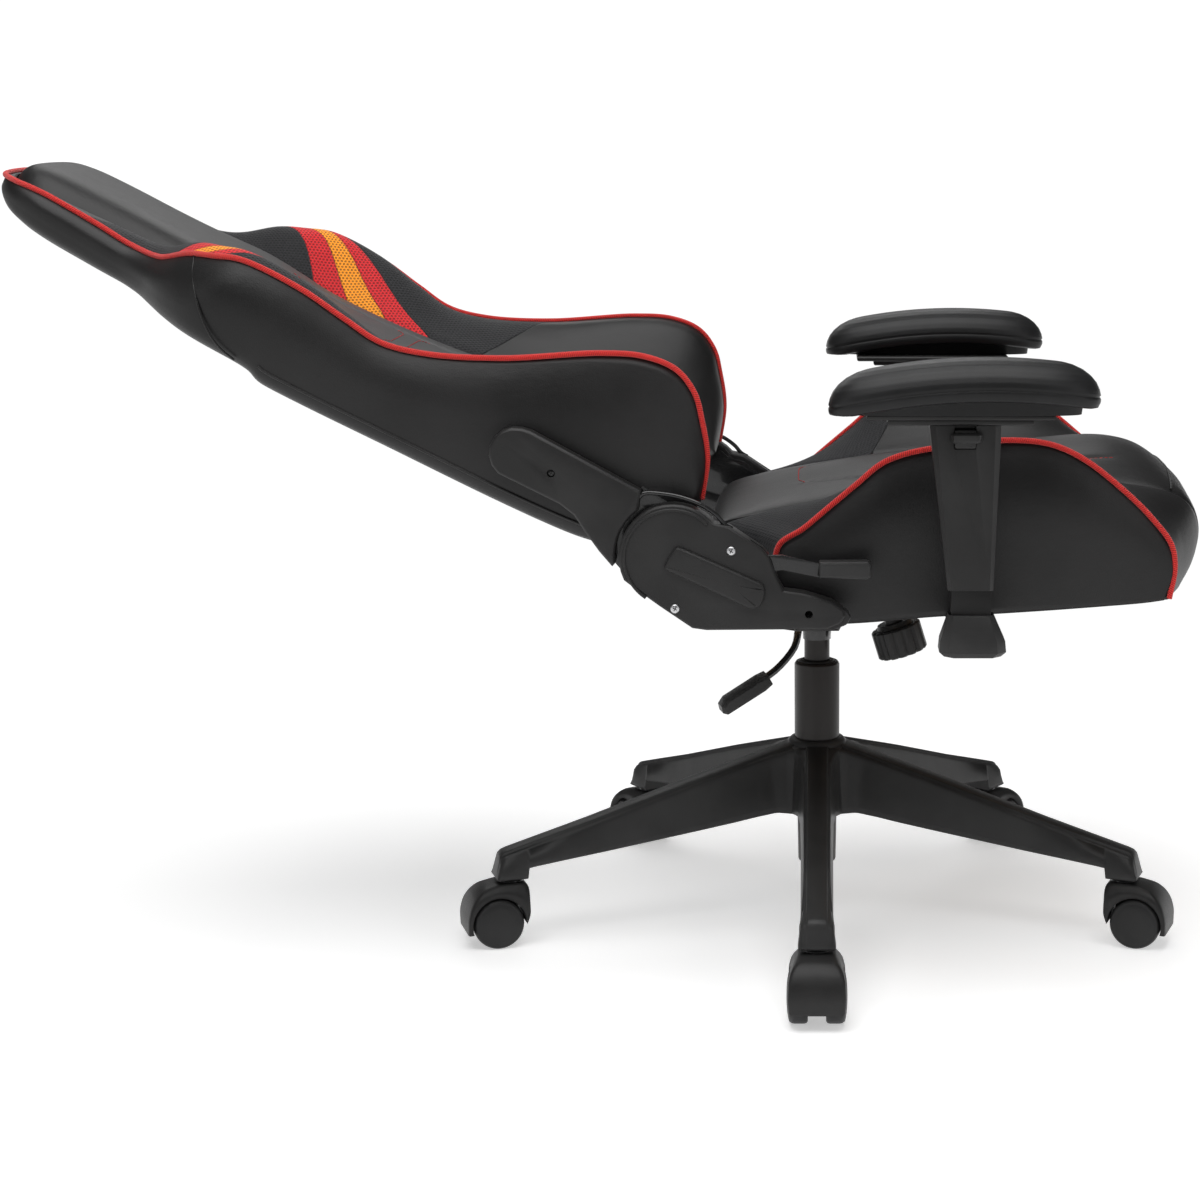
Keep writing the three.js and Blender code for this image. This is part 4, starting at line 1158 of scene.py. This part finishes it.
    def bolster(self, side: Side) -> bpy.types.Object:
        """One bolster: rings run up from the seam to the piped crest, down the outer side and back under."""
        k = np.linspace(0, 1, 30)[None, :]
        swell = np.interp(k, [0, 0.25, 0.58, 0.84, 0.97, 1], [0, 0.27, 0.68, 0.94, 1.0, 1.0])
        swell = 0.5 * swell + 0.5 * eased(k, -0.35, 1.12) / float(eased(np.array(1.0), -0.35, 1.12))
        swell = (swell - swell[:, :1]) / (swell[:, -1:] - swell[:, :1])
        t0 = self.half + 0.6
        root = self.root_line[:, None, :]
        crest = self.crest_line[:, None, :]
        right = t0 + (self.crest_right - t0) * k
        line = root + (crest - root) * swell[..., None]
        tuck = 5.0 * (1 - eased(k * 90, 0, 10)) * eased(line[..., 1], 440, 480)
        front_f = self.rounded_front(line[..., 0], right, 13 + 39 * k)
        front_u = line[..., 1] - tuck
        c = np.linspace(0, 1, 26)[None, 1:]
        base_f = np.clip(crest[..., 0], -44, 358) * (1 - 0.02 * c)
        low_u = self.bottom_at(base_f[:, :1])
        side_u = crest[..., 1] + (low_u - crest[..., 1]) * c
        full_height, belly, draw_in = 165.0, 21.0, 13.0
        tall = np.clip((crest[..., 1] - low_u) / full_height, 0, 1)
        rise = 1 - (1 - np.clip(c / 0.5, 0, 1)) ** 2.1
        side_t = self.crest_right - 2.0 + belly * tall * rise - draw_in * c**2.5 * tall
        side_f = base_f + (crest[..., 0] - base_f) * (1 - c)
        w = np.linspace(0, 1, 8)[None, 1:]
        low_t = side_t[:, -1:] + (t0 - side_t[:, -1:]) * w
        inner_f = np.clip(root[..., 0], -102, 376)
        low_f = side_f[:, -1:] + (inner_f - side_f[:, -1:]) * w
        low_uu = side_u[:, -1:] + (self.floor - 1.0 - side_u[:, -1:]) * w
        v = np.linspace(0, 1, 8)[None, 1:]
        wall_t = t0 + 0 * v + 0 * low_f[:, -1:]
        wall_f = low_f[:, -1:] + (front_f[:, :1] - low_f[:, -1:]) * v
        wall_u = low_uu[:, -1:] + (front_u[:, :1] - low_uu[:, -1:]) * v
        f = np.concatenate([front_f, side_f, low_f, wall_f], axis=1)
        u = np.concatenate([front_u, side_u, low_uu, wall_u], axis=1)
        t = np.concatenate([right + 0 * front_f, side_t, low_t, wall_t], axis=1)
        rings = SPACE.at(f, u, side.value * t)
        across = np.concatenate([k + 0 * front_f, np.ones((len(f), f.shape[1] - k.shape[1]))], axis=1)
        band = np.stack([across, f * MM + 1.0], axis=-1)
        zones = np.zeros((f.shape[0] - 1, f.shape[1] - 1), dtype=int)
        zones[:, :k.shape[1] - 1] = 1
        made = ring_body(f"seat_side_{side.word}", rings, {"weave": lengths_map(rings), "band": band}, zones)
        LEATHER.dress(made, 0)
        BolsterCloth().dress(made, 1)
        return settle(made, "seat", Slot.LEATHERETTE, None, [f"seat_bolster_{side.word}"])

    def piping(self, side: Side) -> bpy.types.Object:
        """Red piping along a bolster's crest."""
        f, u = self.crest_line[:, 0], self.crest_line[:, 1]
        f = self.rounded_front(f, np.full_like(f, self.crest_right), 52)
        points = SPACE.at(f, u + 0.8, side.value * (self.crest_right + 1.0) + 0 * f)
        made = tube(f"seat_piping_{side.word}", respaced(points, 340), self.piping_radius * MM, 12)
        return settle(made, "seat", Slot.LEATHERETTE, PipingCord())

    def stitches(self) -> bpy.types.Object:
        """Red stitching round the seat's middle panel."""
        rows = []
        total = np.linspace(0.0, 1.0, 1200)
        for sign in (1, -1):
            f, _ = self.top_at(total, np.full_like(total, sign * 62.0))
            pick = (f > -12) & (f < 318) & (total < 0.9)
            right = sign * self.panel_half(f[pick])
            f2, u2 = self.top_at(total[pick], right)
            rows.append(SPACE.at(f2, u2 - self.channel_depth(f2, right) + 0.3, right))
        share = float(np.interp(-12, f, total))
        corner = np.linspace(-1, 1, 90)
        right = 62 * corner
        bend = share - (0.012 * (1 - np.abs(corner) ** 8))
        f3, u3 = self.top_at(bend, right)
        rows.append(SPACE.at(f3, u3 - self.channel_depth(f3, right) + 0.3, right))
        made = stitch_rows("seat_stitches", rows)
        return settle(made, "seat", Slot.LEATHERETTE, Thread())

    def build(self) -> None:
        """Makes every piece of the seat."""
        self.cushion()
        self.front_seam()
        self.stitches()
        for side in Side:
            self.bolster(side)
            self.piping(side)


# ---------------------------------------------------------------- armrests

@dataclass
class Armrest:
    """One armrest: padded top on its carrier, tapered sleeve, button, and flared foot."""

    side: Side
    centre: tuple[float, float] = (142.0, 330.0)
    reach: float = 131.0
    breadth: float = 43.0
    squareness: float = 0.62
    pad_floor: float = 602.0
    rim: Points = ((-42.5, 603), (-30, 602), (-17, 602), (-8, 596), (-2.5, 598), (0, 603.5), (0.2, 607),
                   (-1.6, 608.6), (0.0, 610.2), (-1.2, 615.5), (-4.2, 621.5), (-9.5, 627), (-17, 631.5),
                   (-27, 634.8), (-36, 636.2), (-42.5, 636.6))

    def pad(self) -> bpy.types.Object:
        """The pad: superellipse rings whose offset and height follow the rim's profile, bent to a shallow arch.

        A ring is centre + (reach + grow) * sgn(cos a)|cos a|^q, and the same across with breadth and sin a;
        the arch adds 20 * (1 - ((x - 165) / 155)^2), except on the flat that lies on the carrier.
        """
        profile = respaced(np.asarray(self.rim, dtype=float), 64)
        a = np.linspace(0, 2 * math.pi, 161)[None, :]
        bulge = lambda v: np.sign(v) * np.abs(v) ** self.squareness
        grow, level = profile[:, :1], profile[:, 1:2]
        x = self.centre[0] + (self.reach + grow) * bulge(np.cos(a))
        z = self.centre[1] + (self.breadth + grow) * bulge(np.sin(a))
        arched = level + 20 * (1 - ((x - 165) / 155) ** 2)
        flat = np.arange(len(profile))[:, None] < len(profile) * 0.22
        up = np.where(flat & (grow < -15), self.pad_floor + 0 * arched, np.maximum(arched, self.pad_floor))
        made = ring_body(f"arm_pad_cover_{self.side.word}", SPACE.at(x, up, self.side.value * z))
        word = self.side.word
        return settle(made, f"arm_rest_{word}", Slot.PAD, PAD_SKIN, [f"arm_pad_{word}"])

    def build(self) -> None:
        """Makes every piece of the armrest."""
        w = self.side.word
        self.pad()
        casting(f"arm_sleeve_{w}", f"arm_slide_{w}", Slot.PLASTIC, PLASTIC, 2.0, 30)
        casting(f"arm_button_{w}", f"arm_key_{w}", Slot.PLASTIC, SATIN, 1.2, 30)
        casting(f"pad_carrier_{w}", f"arm_carrier_{w}", Slot.PLASTIC, PLASTIC, 2.2, 30)
        casting(f"arm_foot_{w}", "seat", Slot.PLASTIC, SATIN, 2.4, 30)
        casting(f"arm_bracket_{w}", "seat", Slot.STEEL, MATT_STEEL, 0.8, 30)


# ---------------------------------------------------------------- recliner

@dataclass
class Recliner:
    """One side's recline joint: seat plate, back arm, their covers, trim and screws."""

    side: Side
    face: float = 291.0
    pivot: tuple[float, float] = (-143.0, 454.0)
    disc: float = 53.5

    def outward(self, forward: Array, up: Array, right: float) -> Array:
        """Places a flat outline on this side."""
        return SPACE.at(forward, up, self.side.value * right)

    def rim_ring(self) -> bpy.types.Object:
        """The raised rim round the cover's disc: a half-round bead from above the lever to behind the disc."""
        a = np.radians(np.linspace(44, 236, 90))
        radius = self.disc - 5.5
        path = SPACE.at(self.pivot[0] + radius * np.cos(a), self.pivot[1] + radius * np.sin(a),
                        self.side.value * (self.face + 0.2))
        made = tube(f"disc_rim_{self.side.word}", path, 1.7 * MM, 10)
        return settle(made, "seat", Slot.PLASTIC, PLASTIC)

    def plate_edge(self) -> bpy.types.Object:
        """The gloss edge of the back arm's round head, which shows above the disc and turns with the back."""
        corners = [(-178, 511), (-172, 517), (-150, 516.5), (-130, 512), (-112, 504.5), (-99, 495), (-91, 486),
                   (-84, 482)]
        line = smooth_line(corners, 80)
        path = SPACE.at(line[:, 0], line[:, 1], self.side.value * (self.face - 9) + 0 * line[:, 0])
        made = tube(f"plate_edge_{self.side.word}", path, 2.3 * MM, 12)
        return settle(made, "back", Slot.STEEL, GLOSS)

    def raised(self, label: str, corners: list, rounding: float, low: float, high: float, bevel: float) -> None:
        """A plate with rounded corners between two distances from the cover's face."""
        line = np.array(rounded_profile(corners + corners[:2], rounding, 4))[1:-1]
        made = prism_body(f"{label}_{self.side.word}", line, self.face + low, self.face + high,
                          self.outward, bevel)
        settle(made, "seat", Slot.PLASTIC, PLASTIC)

    def screw(self, label: str, forward: float, up: float, level: float, body: str, plated: bool = True,
              on_back: bool = False) -> None:
        """A cross-headed screw: a domed head, and the cross cut's shade painted as two dark bars set into it."""
        centre = (SPACE.on_back(forward, up, self.side.value * level) if on_back
                  else SPACE.at(forward, up, self.side.value * level))
        axis = np.array([-float(self.side.value), 0.0, 0.0])
        dome = [(0, -2), (4.6, -2), (4.8, 0.2), (4.3, 1.2), (3.2, 1.9), (1.8, 2.2), (0, 2.3)]
        head = turned(f"{label}_{self.side.word}", dome, centre, axis, 28)
        settle(head, body, Slot.BARE, PLATED if plated else GLOSS)
        cosine, sine = math.cos(0.5) * MM, math.sin(0.5) * MM
        place = lambda x, y, out: (centre + axis * out * MM
                                   + np.stack([0 * x, x * cosine - y * sine, x * sine + y * cosine], axis=-1))
        # Painted shade: two dark plastic bars stand in for the shadowed cross recess of the plated head.
        for k, (long, tall) in enumerate(((2.3, 0.42), (0.42, 2.3))):
            corners = np.array([(-long, -tall), (long, -tall), (long, tall), (-long, tall)])
            painted_shade_bar = prism_body(f"{label}_cross_{k}_{self.side.word}", corners, 1.2, 2.45, place, 0.1)
            settle(painted_shade_bar, body, Slot.PLASTIC, PLASTIC)

    def build(self) -> None:
        """Makes every piece of this side's recliner."""
        w = self.side.word
        casting(f"recliner_cover_{w}", "seat", Slot.PLASTIC, PLASTIC, 2.2, 28, 4)
        casting(f"back_arm_cover_{w}", "back", Slot.PLASTIC, PLASTIC, 7.0, 28, 2)
        casting(f"recliner_plate_{w}", "seat", Slot.STEEL, GLOSS, 0.8)
        casting(f"recliner_pin_{w}", "seat", Slot.BARE, PLATED, 0.6)
        casting(f"back_arm_{w}", "back", Slot.STEEL, GLOSS, 0.9)
        self.rim_ring()
        self.plate_edge()
        self.raised("cover_rib", [(-139, 467), (-153, 444), (-66, 403), (-56, 404.5), (-51, 419), (-52, 428)],
                    5, -1, 5.6, 3.6)
        self.raised("cover_lip", [(-20, 414), (16, 405), (30, 400), (34, 393), (30, 386), (16, 380), (-22, 379),
                                  (-22, 383), (12, 385), (22, 390), (24, 394), (21, 398), (10, 402), (-18, 409)],
                    2.2, -16, -4, 1.8)
        self.screw("cover_screw_upper", -85, 461, self.face - 0.3, "seat")
        self.screw("cover_screw_lower", -141, 403, self.face - 0.3, "seat")
        self.screw("arm_bolt", 23, 144, self.face - 8.5, "back", False, True)


# ---------------------------------------------------------------- mechanism, base

@dataclass
class Mechanism:
    """The tilt box, seat plate, tension knob and height lever under the seat."""

    def build(self) -> None:
        """Softens each CAD part and gives it its finish."""
        casting("tilt_housing", "mechanism", Slot.STEEL, GLOSS, 1.4)
        casting("seat_plate", "seat", Slot.STEEL, GLOSS, 0.8)
        casting("tension_knob", "knob", Slot.PLASTIC, PLASTIC, 0.8)
        casting("lever_sleeve", "lever_carrier", Slot.STEEL, GLOSS, 0.6)
        casting("height_lever_paddle", "height_lever", Slot.PLASTIC, PLASTIC, 2.4)
        casting("recline_lever", "release_lever", Slot.STEEL, GLOSS, 0.9)
        casting("recline_grip", "release_lever", Slot.PLASTIC, SATIN, 1.8)
        for node, finish in (("height_lever_rod", GLOSS), ("tension_spring", PLATED),
                             ("tilt_pivot_pin", PLATED), ("seat_board", Plywood()), ("back_frame", GLOSS)):
            keep(node, finish)


def keep(node: str, finish: Finish) -> None:
    """Leaves a CAD node as it is and gives it this finish."""
    finish.dress(frame["nodes"][node])
    log.info("%s keeps its CAD shape", node)


@dataclass
class StarBase:
    """The five-legged base, gas spring and twin-wheel casters; lengths run out from the column's axis."""

    legs: int = 5
    hub: Points = ((0, 118), (29, 118), (33, 120), (35.5, 126), (35.5, 180), (34.5, 194), (32.5, 200),
                   (29, 203.4), (25.6, 204), (0, 204))
    top: Points = ((8, 203), (32, 199), (147, 166), (261, 131), (345, 107), (354, 104.4), (359, 102.4),
                   (362.5, 99), (365.5, 86), (367.5, 76))
    bottom: Points = ((8, 121), (52, 124), (100, 116), (148, 109), (243, 96), (332, 84.5), (333.5, 73),
                      (366, 73), (367.5, 74.5))
    foot: Points = ((8, 34), (30, 32), (42, 26), (55, 21), (75, 18.6), (150, 17.5), (300, 16.8),
                    (325, 17.2), (335, 18.4), (350, 19.4), (367.5, 19))
    shoulder: Points = ((8, 31), (30, 27), (42, 20), (60, 16), (90, 14.6), (300, 13.6), (330, 14.2),
                        (350, 15.2), (367.5, 15))
    rib: Points = ((8, 14), (40, 12), (100, 11.5), (300, 10.5), (330, 10.5), (350, 10.5), (367.5, 10.5))
    trail: float = 17.5
    stem: float = 350.0
    wheel_radius: float = 27.5
    hood_outer: Points = ((51.6, 18), (51.8, 34), (48.6, 46.5), (42, 57), (32, 65.6), (15, 69.6),
                          (-12, 69.6), (-17, 66), (-17, 36), (-12.5, 26))
    hood_inner: float = 29.4
    hood_width: Points = ((0, 26.5), (20, 27.8), (34, 28.8), (50, 28), (57, 26.4), (62, 23.4), (66, 20),
                          (71, 18.6))
    web: Points = ((-8, 30), (-4, 60), (28, 52), (42, 34), (40, 17), (12, 17), (0, 21))
    wheel: Points = ((0, -10), (25, -10), (27, -8.6), (27.5, -6), (27.5, 3), (27.1, 5.8), (25.6, 8.2),
                     (24.4, 9.0), (23.6, 8.8), (22.6, 9.4), (17, 10.4), (9, 11.1), (0, 11.3))

    def out_from(self, leg: int, along: Array, up: Array, across: Array) -> Array:
        """Places points on leg 1 to 5: distance out, height, and distance across to the leg's own side."""
        turn = 2 * math.pi * (leg - 1) / self.legs
        return SPACE.at(along * math.sin(turn) + across * math.cos(turn), up,
                        along * math.cos(turn) - across * math.sin(turn))

    def leg(self, number: int) -> bpy.types.Object:
        """One leg: flat slanted sides, a raised rib on top, flared at the hub, a square block at the tip.

        Each ring is a section across the leg; its places are shares of the foot, shoulder and rib widths.
        """
        tip = [332, 333.5, 335, 341, 347, 354, 357, 359, 361, 362.5, 364, 365.5, 366.6, 367.5]
        r = np.unique(np.concatenate([np.linspace(8, 90, 28), np.linspace(90, 330, 40), tip]))[:, None]
        line = lambda points: np.interp(r, *np.array(points).T)
        lines = (self.top, self.bottom, self.foot, self.shoulder, self.rib)
        top, low, foot, shoulder, rib = (line(p) for p in lines)
        deep = np.clip((top - low) / 12, 0, 1)
        half = [(0 * foot, low), (foot - 4, low), (foot - 1.4, low + 0.5 * deep), (foot - 0.2, low + 2.2 * deep),
                (foot - 0.1 + (shoulder - foot) * 0.1, low + (top - low) * 0.1 + 2 * deep),
                (foot + (shoulder - foot) * 0.85, low + (top - low) * 0.85 - 2 * deep), (shoulder, top - 6.5 * deep),
                (shoulder - 0.9, top - 4.3 * deep), (shoulder - 2.4, top - 3.3 * deep),
                (rib + 0.6, top - 3.0 * deep), (rib, top - 2.2 * deep), (rib - 0.5, top - 0.8 * deep),
                (rib - 1.8, top), (0 * rib, top)]
        across = np.concatenate([w for w, _ in half] + [-w for w, _ in half[-2:0:-1]] + [half[0][0]], axis=1)
        up = np.concatenate([h for _, h in half] + [h for _, h in half[-2:0:-1]] + [half[0][1]], axis=1)
        return ring_body(f"star_leg_{number}", self.out_from(number, r + 0 * up, up, across))

    def hood(self, number: int) -> bpy.types.Object:
        """A caster's hood: rings step along an outer line and a circular inner one, and span the hood's width.

        The half width at each place comes from its height; the outer corners are rounded off.
        """
        outer = respaced(np.array(rounded_profile(self.hood_outer, 5.0, 5)), 60)
        turn = np.radians(np.linspace(-18, 181, 60))
        inner = np.stack([self.trail + self.hood_inner * np.cos(turn),
                          self.wheel_radius + self.hood_inner * np.sin(turn)], axis=1)
        share = np.array([0, 0, 0.5, 0.8, 0.93, 1, 1, 1, 0.93, 0.8, 0.5, 0, 0])[None, :, None]
        wide = np.array([0, 1, 1, 0.985, 0.93, 0.8, 0, -0.8, -0.93, -0.985, -1, -1, 0])[None, :]
        place = inner[:, None] + (outer - inner)[:, None] * share
        half = np.interp(place[..., 1], *np.array(self.hood_width).T)
        return ring_body(f"caster_shell_{number}",
                         self.out_from(number, self.stem + place[..., 0], place[..., 1], wide * half))

    def caster(self, number: int) -> None:
        """One caster: hood, web between the wheels, collar on its stem, and two domed wheels."""
        body = f"caster_{number}"
        settle(self.hood(number), body, Slot.PLASTIC, PLASTIC, [f"caster_hood_{number}"])
        lay = lambda x, y, level: self.out_from(number, self.stem + x, y, level + 0 * x)
        web = prism_body(f"caster_web_{number}", np.array(self.web, dtype=float), -8.2, 8.2, lay, 0.5)
        settle(web, body, Slot.PLASTIC, PLASTIC)
        foot = self.out_from(number, np.array(self.stem), np.array(0.0), np.array(0.0))
        profile = [(0, 58), (13, 58), (13.4, 71), (12.6, 71.8), (5, 71.8), (5, 90), (0, 90)]
        collar = turned(f"caster_collar_{number}", profile, foot, np.array([0.0, 0.0, 1.0]), 32)
        settle(collar, body, Slot.PLASTIC, GLOSS)
        middle = self.out_from(number, np.array(self.stem + self.trail), np.array(self.wheel_radius),
                               np.array(0.0))
        for wheel in "ab":
            node = f"wheel_{wheel}_{number}"
            low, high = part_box(node)
            centre = (np.array(low) + np.array(high)) / 2
            made = turned(f"{node}_tyre", self.wheel, centre, centre - middle, 72)
            settle(made, f"{node}_body", Slot.PLASTIC, WHEEL, [node])

    def build(self) -> None:
        """Makes the hub, legs and casters, and softens the column's parts."""
        axis = SPACE.at(np.array(0.0), np.array(0.0), np.array(0.0))
        hub = turned("star_hub", self.hub, axis, np.array([0.0, 0.0, 1.0]), 96)
        settle(hub, "base", Slot.PLASTIC, SATIN, ["star_base"])
        casting("gas_column", "base", Slot.TUBE, TUBE_STEEL, 1.0)
        casting("gas_piston", "piston", Slot.TUBE, TUBE_STEEL, 0.6)
        casting("column_bush", "base", Slot.PLASTIC, PLASTIC, 0.5)
        for number in range(1, self.legs + 1):
            settle(self.leg(number), "base", Slot.PLASTIC, SATIN)
            self.caster(number)


# ---------------------------------------------------------------- studio

@dataclass(frozen=True)
class SoftBox:
    """An area light: where it stands, what it looks at, its width and height, and its power."""

    name: str
    place: tuple[float, float, float]
    aim: tuple[float, float, float]
    size: tuple[float, float]
    power: float


@dataclass
class Studio:
    """Camera, soft lights, pale world and floor."""

    lens: float = 77.87
    tilt: float = 10.49
    place: tuple[float, float, float] = (-2.8145, -0.215, 0.881)
    shift: float = -0.1808
    ambient: float = 0.09
    backdrop: float = 1.1
    band: tuple[float, float] = (0.07, 0.12)
    boxes: tuple[SoftBox, ...] = (
        SoftBox("overhead", (-0.6, 0.0, 3.0), (0.0, 0.0, 0.4), (2.6, 3.2), 92.0),
        SoftBox("front", (-2.2, -2.8, 2.0), (0.0, -0.1, 0.5), (1.0, 1.6), 9.0),
        SoftBox("rear", (-2.0, 3.0, 1.9), (0.0, 0.1, 0.5), (1.0, 1.6), 8.0),
        SoftBox("rim", (2.8, 0.4, 2.4), (0.0, 0.0, 0.5), (2.6, 1.2), 18.0),
    )

    def camera(self) -> None:
        """The camera, level from side to side and tipped down."""
        data = bpy.data.cameras.new("camera")
        data.lens, data.sensor_width, data.shift_x = self.lens, 36.0, self.shift
        data.clip_end = 60
        made = bpy.data.objects.new("camera", data)
        made.location = self.place
        made.rotation_euler = (math.radians(90 - self.tilt), 0.0, math.radians(-90))
        bpy.context.scene.collection.objects.link(made)
        bpy.context.scene.camera = made

    def lights(self) -> None:
        """Area lights, each turned to its aim."""
        for box in self.boxes:
            data = bpy.data.lights.new(box.name, "AREA")
            data.shape, data.size, data.size_y, data.energy = "RECTANGLE", *box.size, box.power
            made = bpy.data.objects.new(box.name, data)
            made.location = box.place
            way = np.asarray(box.aim) - np.asarray(box.place)
            flat = math.hypot(way[0], way[1])
            made.rotation_euler = (math.atan2(flat, -way[2]), 0.0, math.atan2(way[1], way[0]) - math.pi / 2)
            bpy.context.scene.collection.objects.link(made)

    def world(self) -> None:
        """A dim dome whose lowest few degrees are as white as the floor."""
        world = bpy.data.worlds.new("studio")
        world.use_nodes = True
        nodes, links = world.node_tree.nodes, world.node_tree.links
        back = next(n for n in nodes if n.type == "BACKGROUND")
        back.inputs["Color"].default_value = (1.0, 1.0, 1.0, 1.0)
        way, parts = nodes.new("ShaderNodeTexCoord"), nodes.new("ShaderNodeSeparateXYZ")
        level = nodes.new("ShaderNodeMapRange")
        for name, value in (("From Min", self.band[0]), ("From Max", self.band[1]), ("To Min", self.backdrop),
                            ("To Max", self.ambient)):
            level.inputs[name].default_value = value
        links.new(way.outputs["Generated"], parts.inputs["Vector"])
        links.new(parts.outputs["Z"], level.inputs["Value"])
        links.new(level.outputs["Result"], back.inputs["Strength"])
        bpy.context.scene.world = world
        bpy.context.scene.view_settings.view_transform = "Standard"

    def floor(self) -> None:
        """A wide disc: rings of rising radius about the column."""
        turn = np.linspace(0, 2 * math.pi, 97)[None, :-1]
        radius = np.array([0.5, 2.0, 6.0, 20.0, 45.0])[:, None]
        rings = np.stack([radius * np.cos(turn), radius * np.sin(turn), 0 * radius * turn], axis=-1)
        n = rings.shape[1]
        i, j = np.meshgrid(np.arange(len(rings) - 1), np.arange(n), indexing="ij")
        i, j = i.ravel(), j.ravel()
        quads = np.stack([i * n + j, (i + 1) * n + j, (i + 1) * n + (j + 1) % n, i * n + (j + 1) % n], axis=1)
        made = new_object("floor", rings.reshape(-1, 3), quads.tolist() + [list(range(n))])
        PaleFloor().dress(made)
        made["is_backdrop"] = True

    def build(self) -> None:
        """Sets up the whole studio."""
        self.camera()
        self.lights()
        self.world()
        self.floor()


def write_size() -> None:
    """Gathers the CAD box and the visual model's box into a dict, which is then dropped."""
    plain = lambda box: [[float(v) for v in corner] for corner in box]
    {"cad": plain(CAD_BOX), "visual": plain(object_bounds())}


def main() -> None:
    """Builds the studio and the chair, part by part."""
    logging.basicConfig(level=logging.INFO, format="%(message)s")
    Studio().build()
    BackRest().build()
    SeatCushions().build()
    for side in Side:
        Armrest(side).build()
        Recliner(side).build()
    Mechanism().build()
    StarBase().build()
    write_size()


if __name__ == "__main__":
    main()
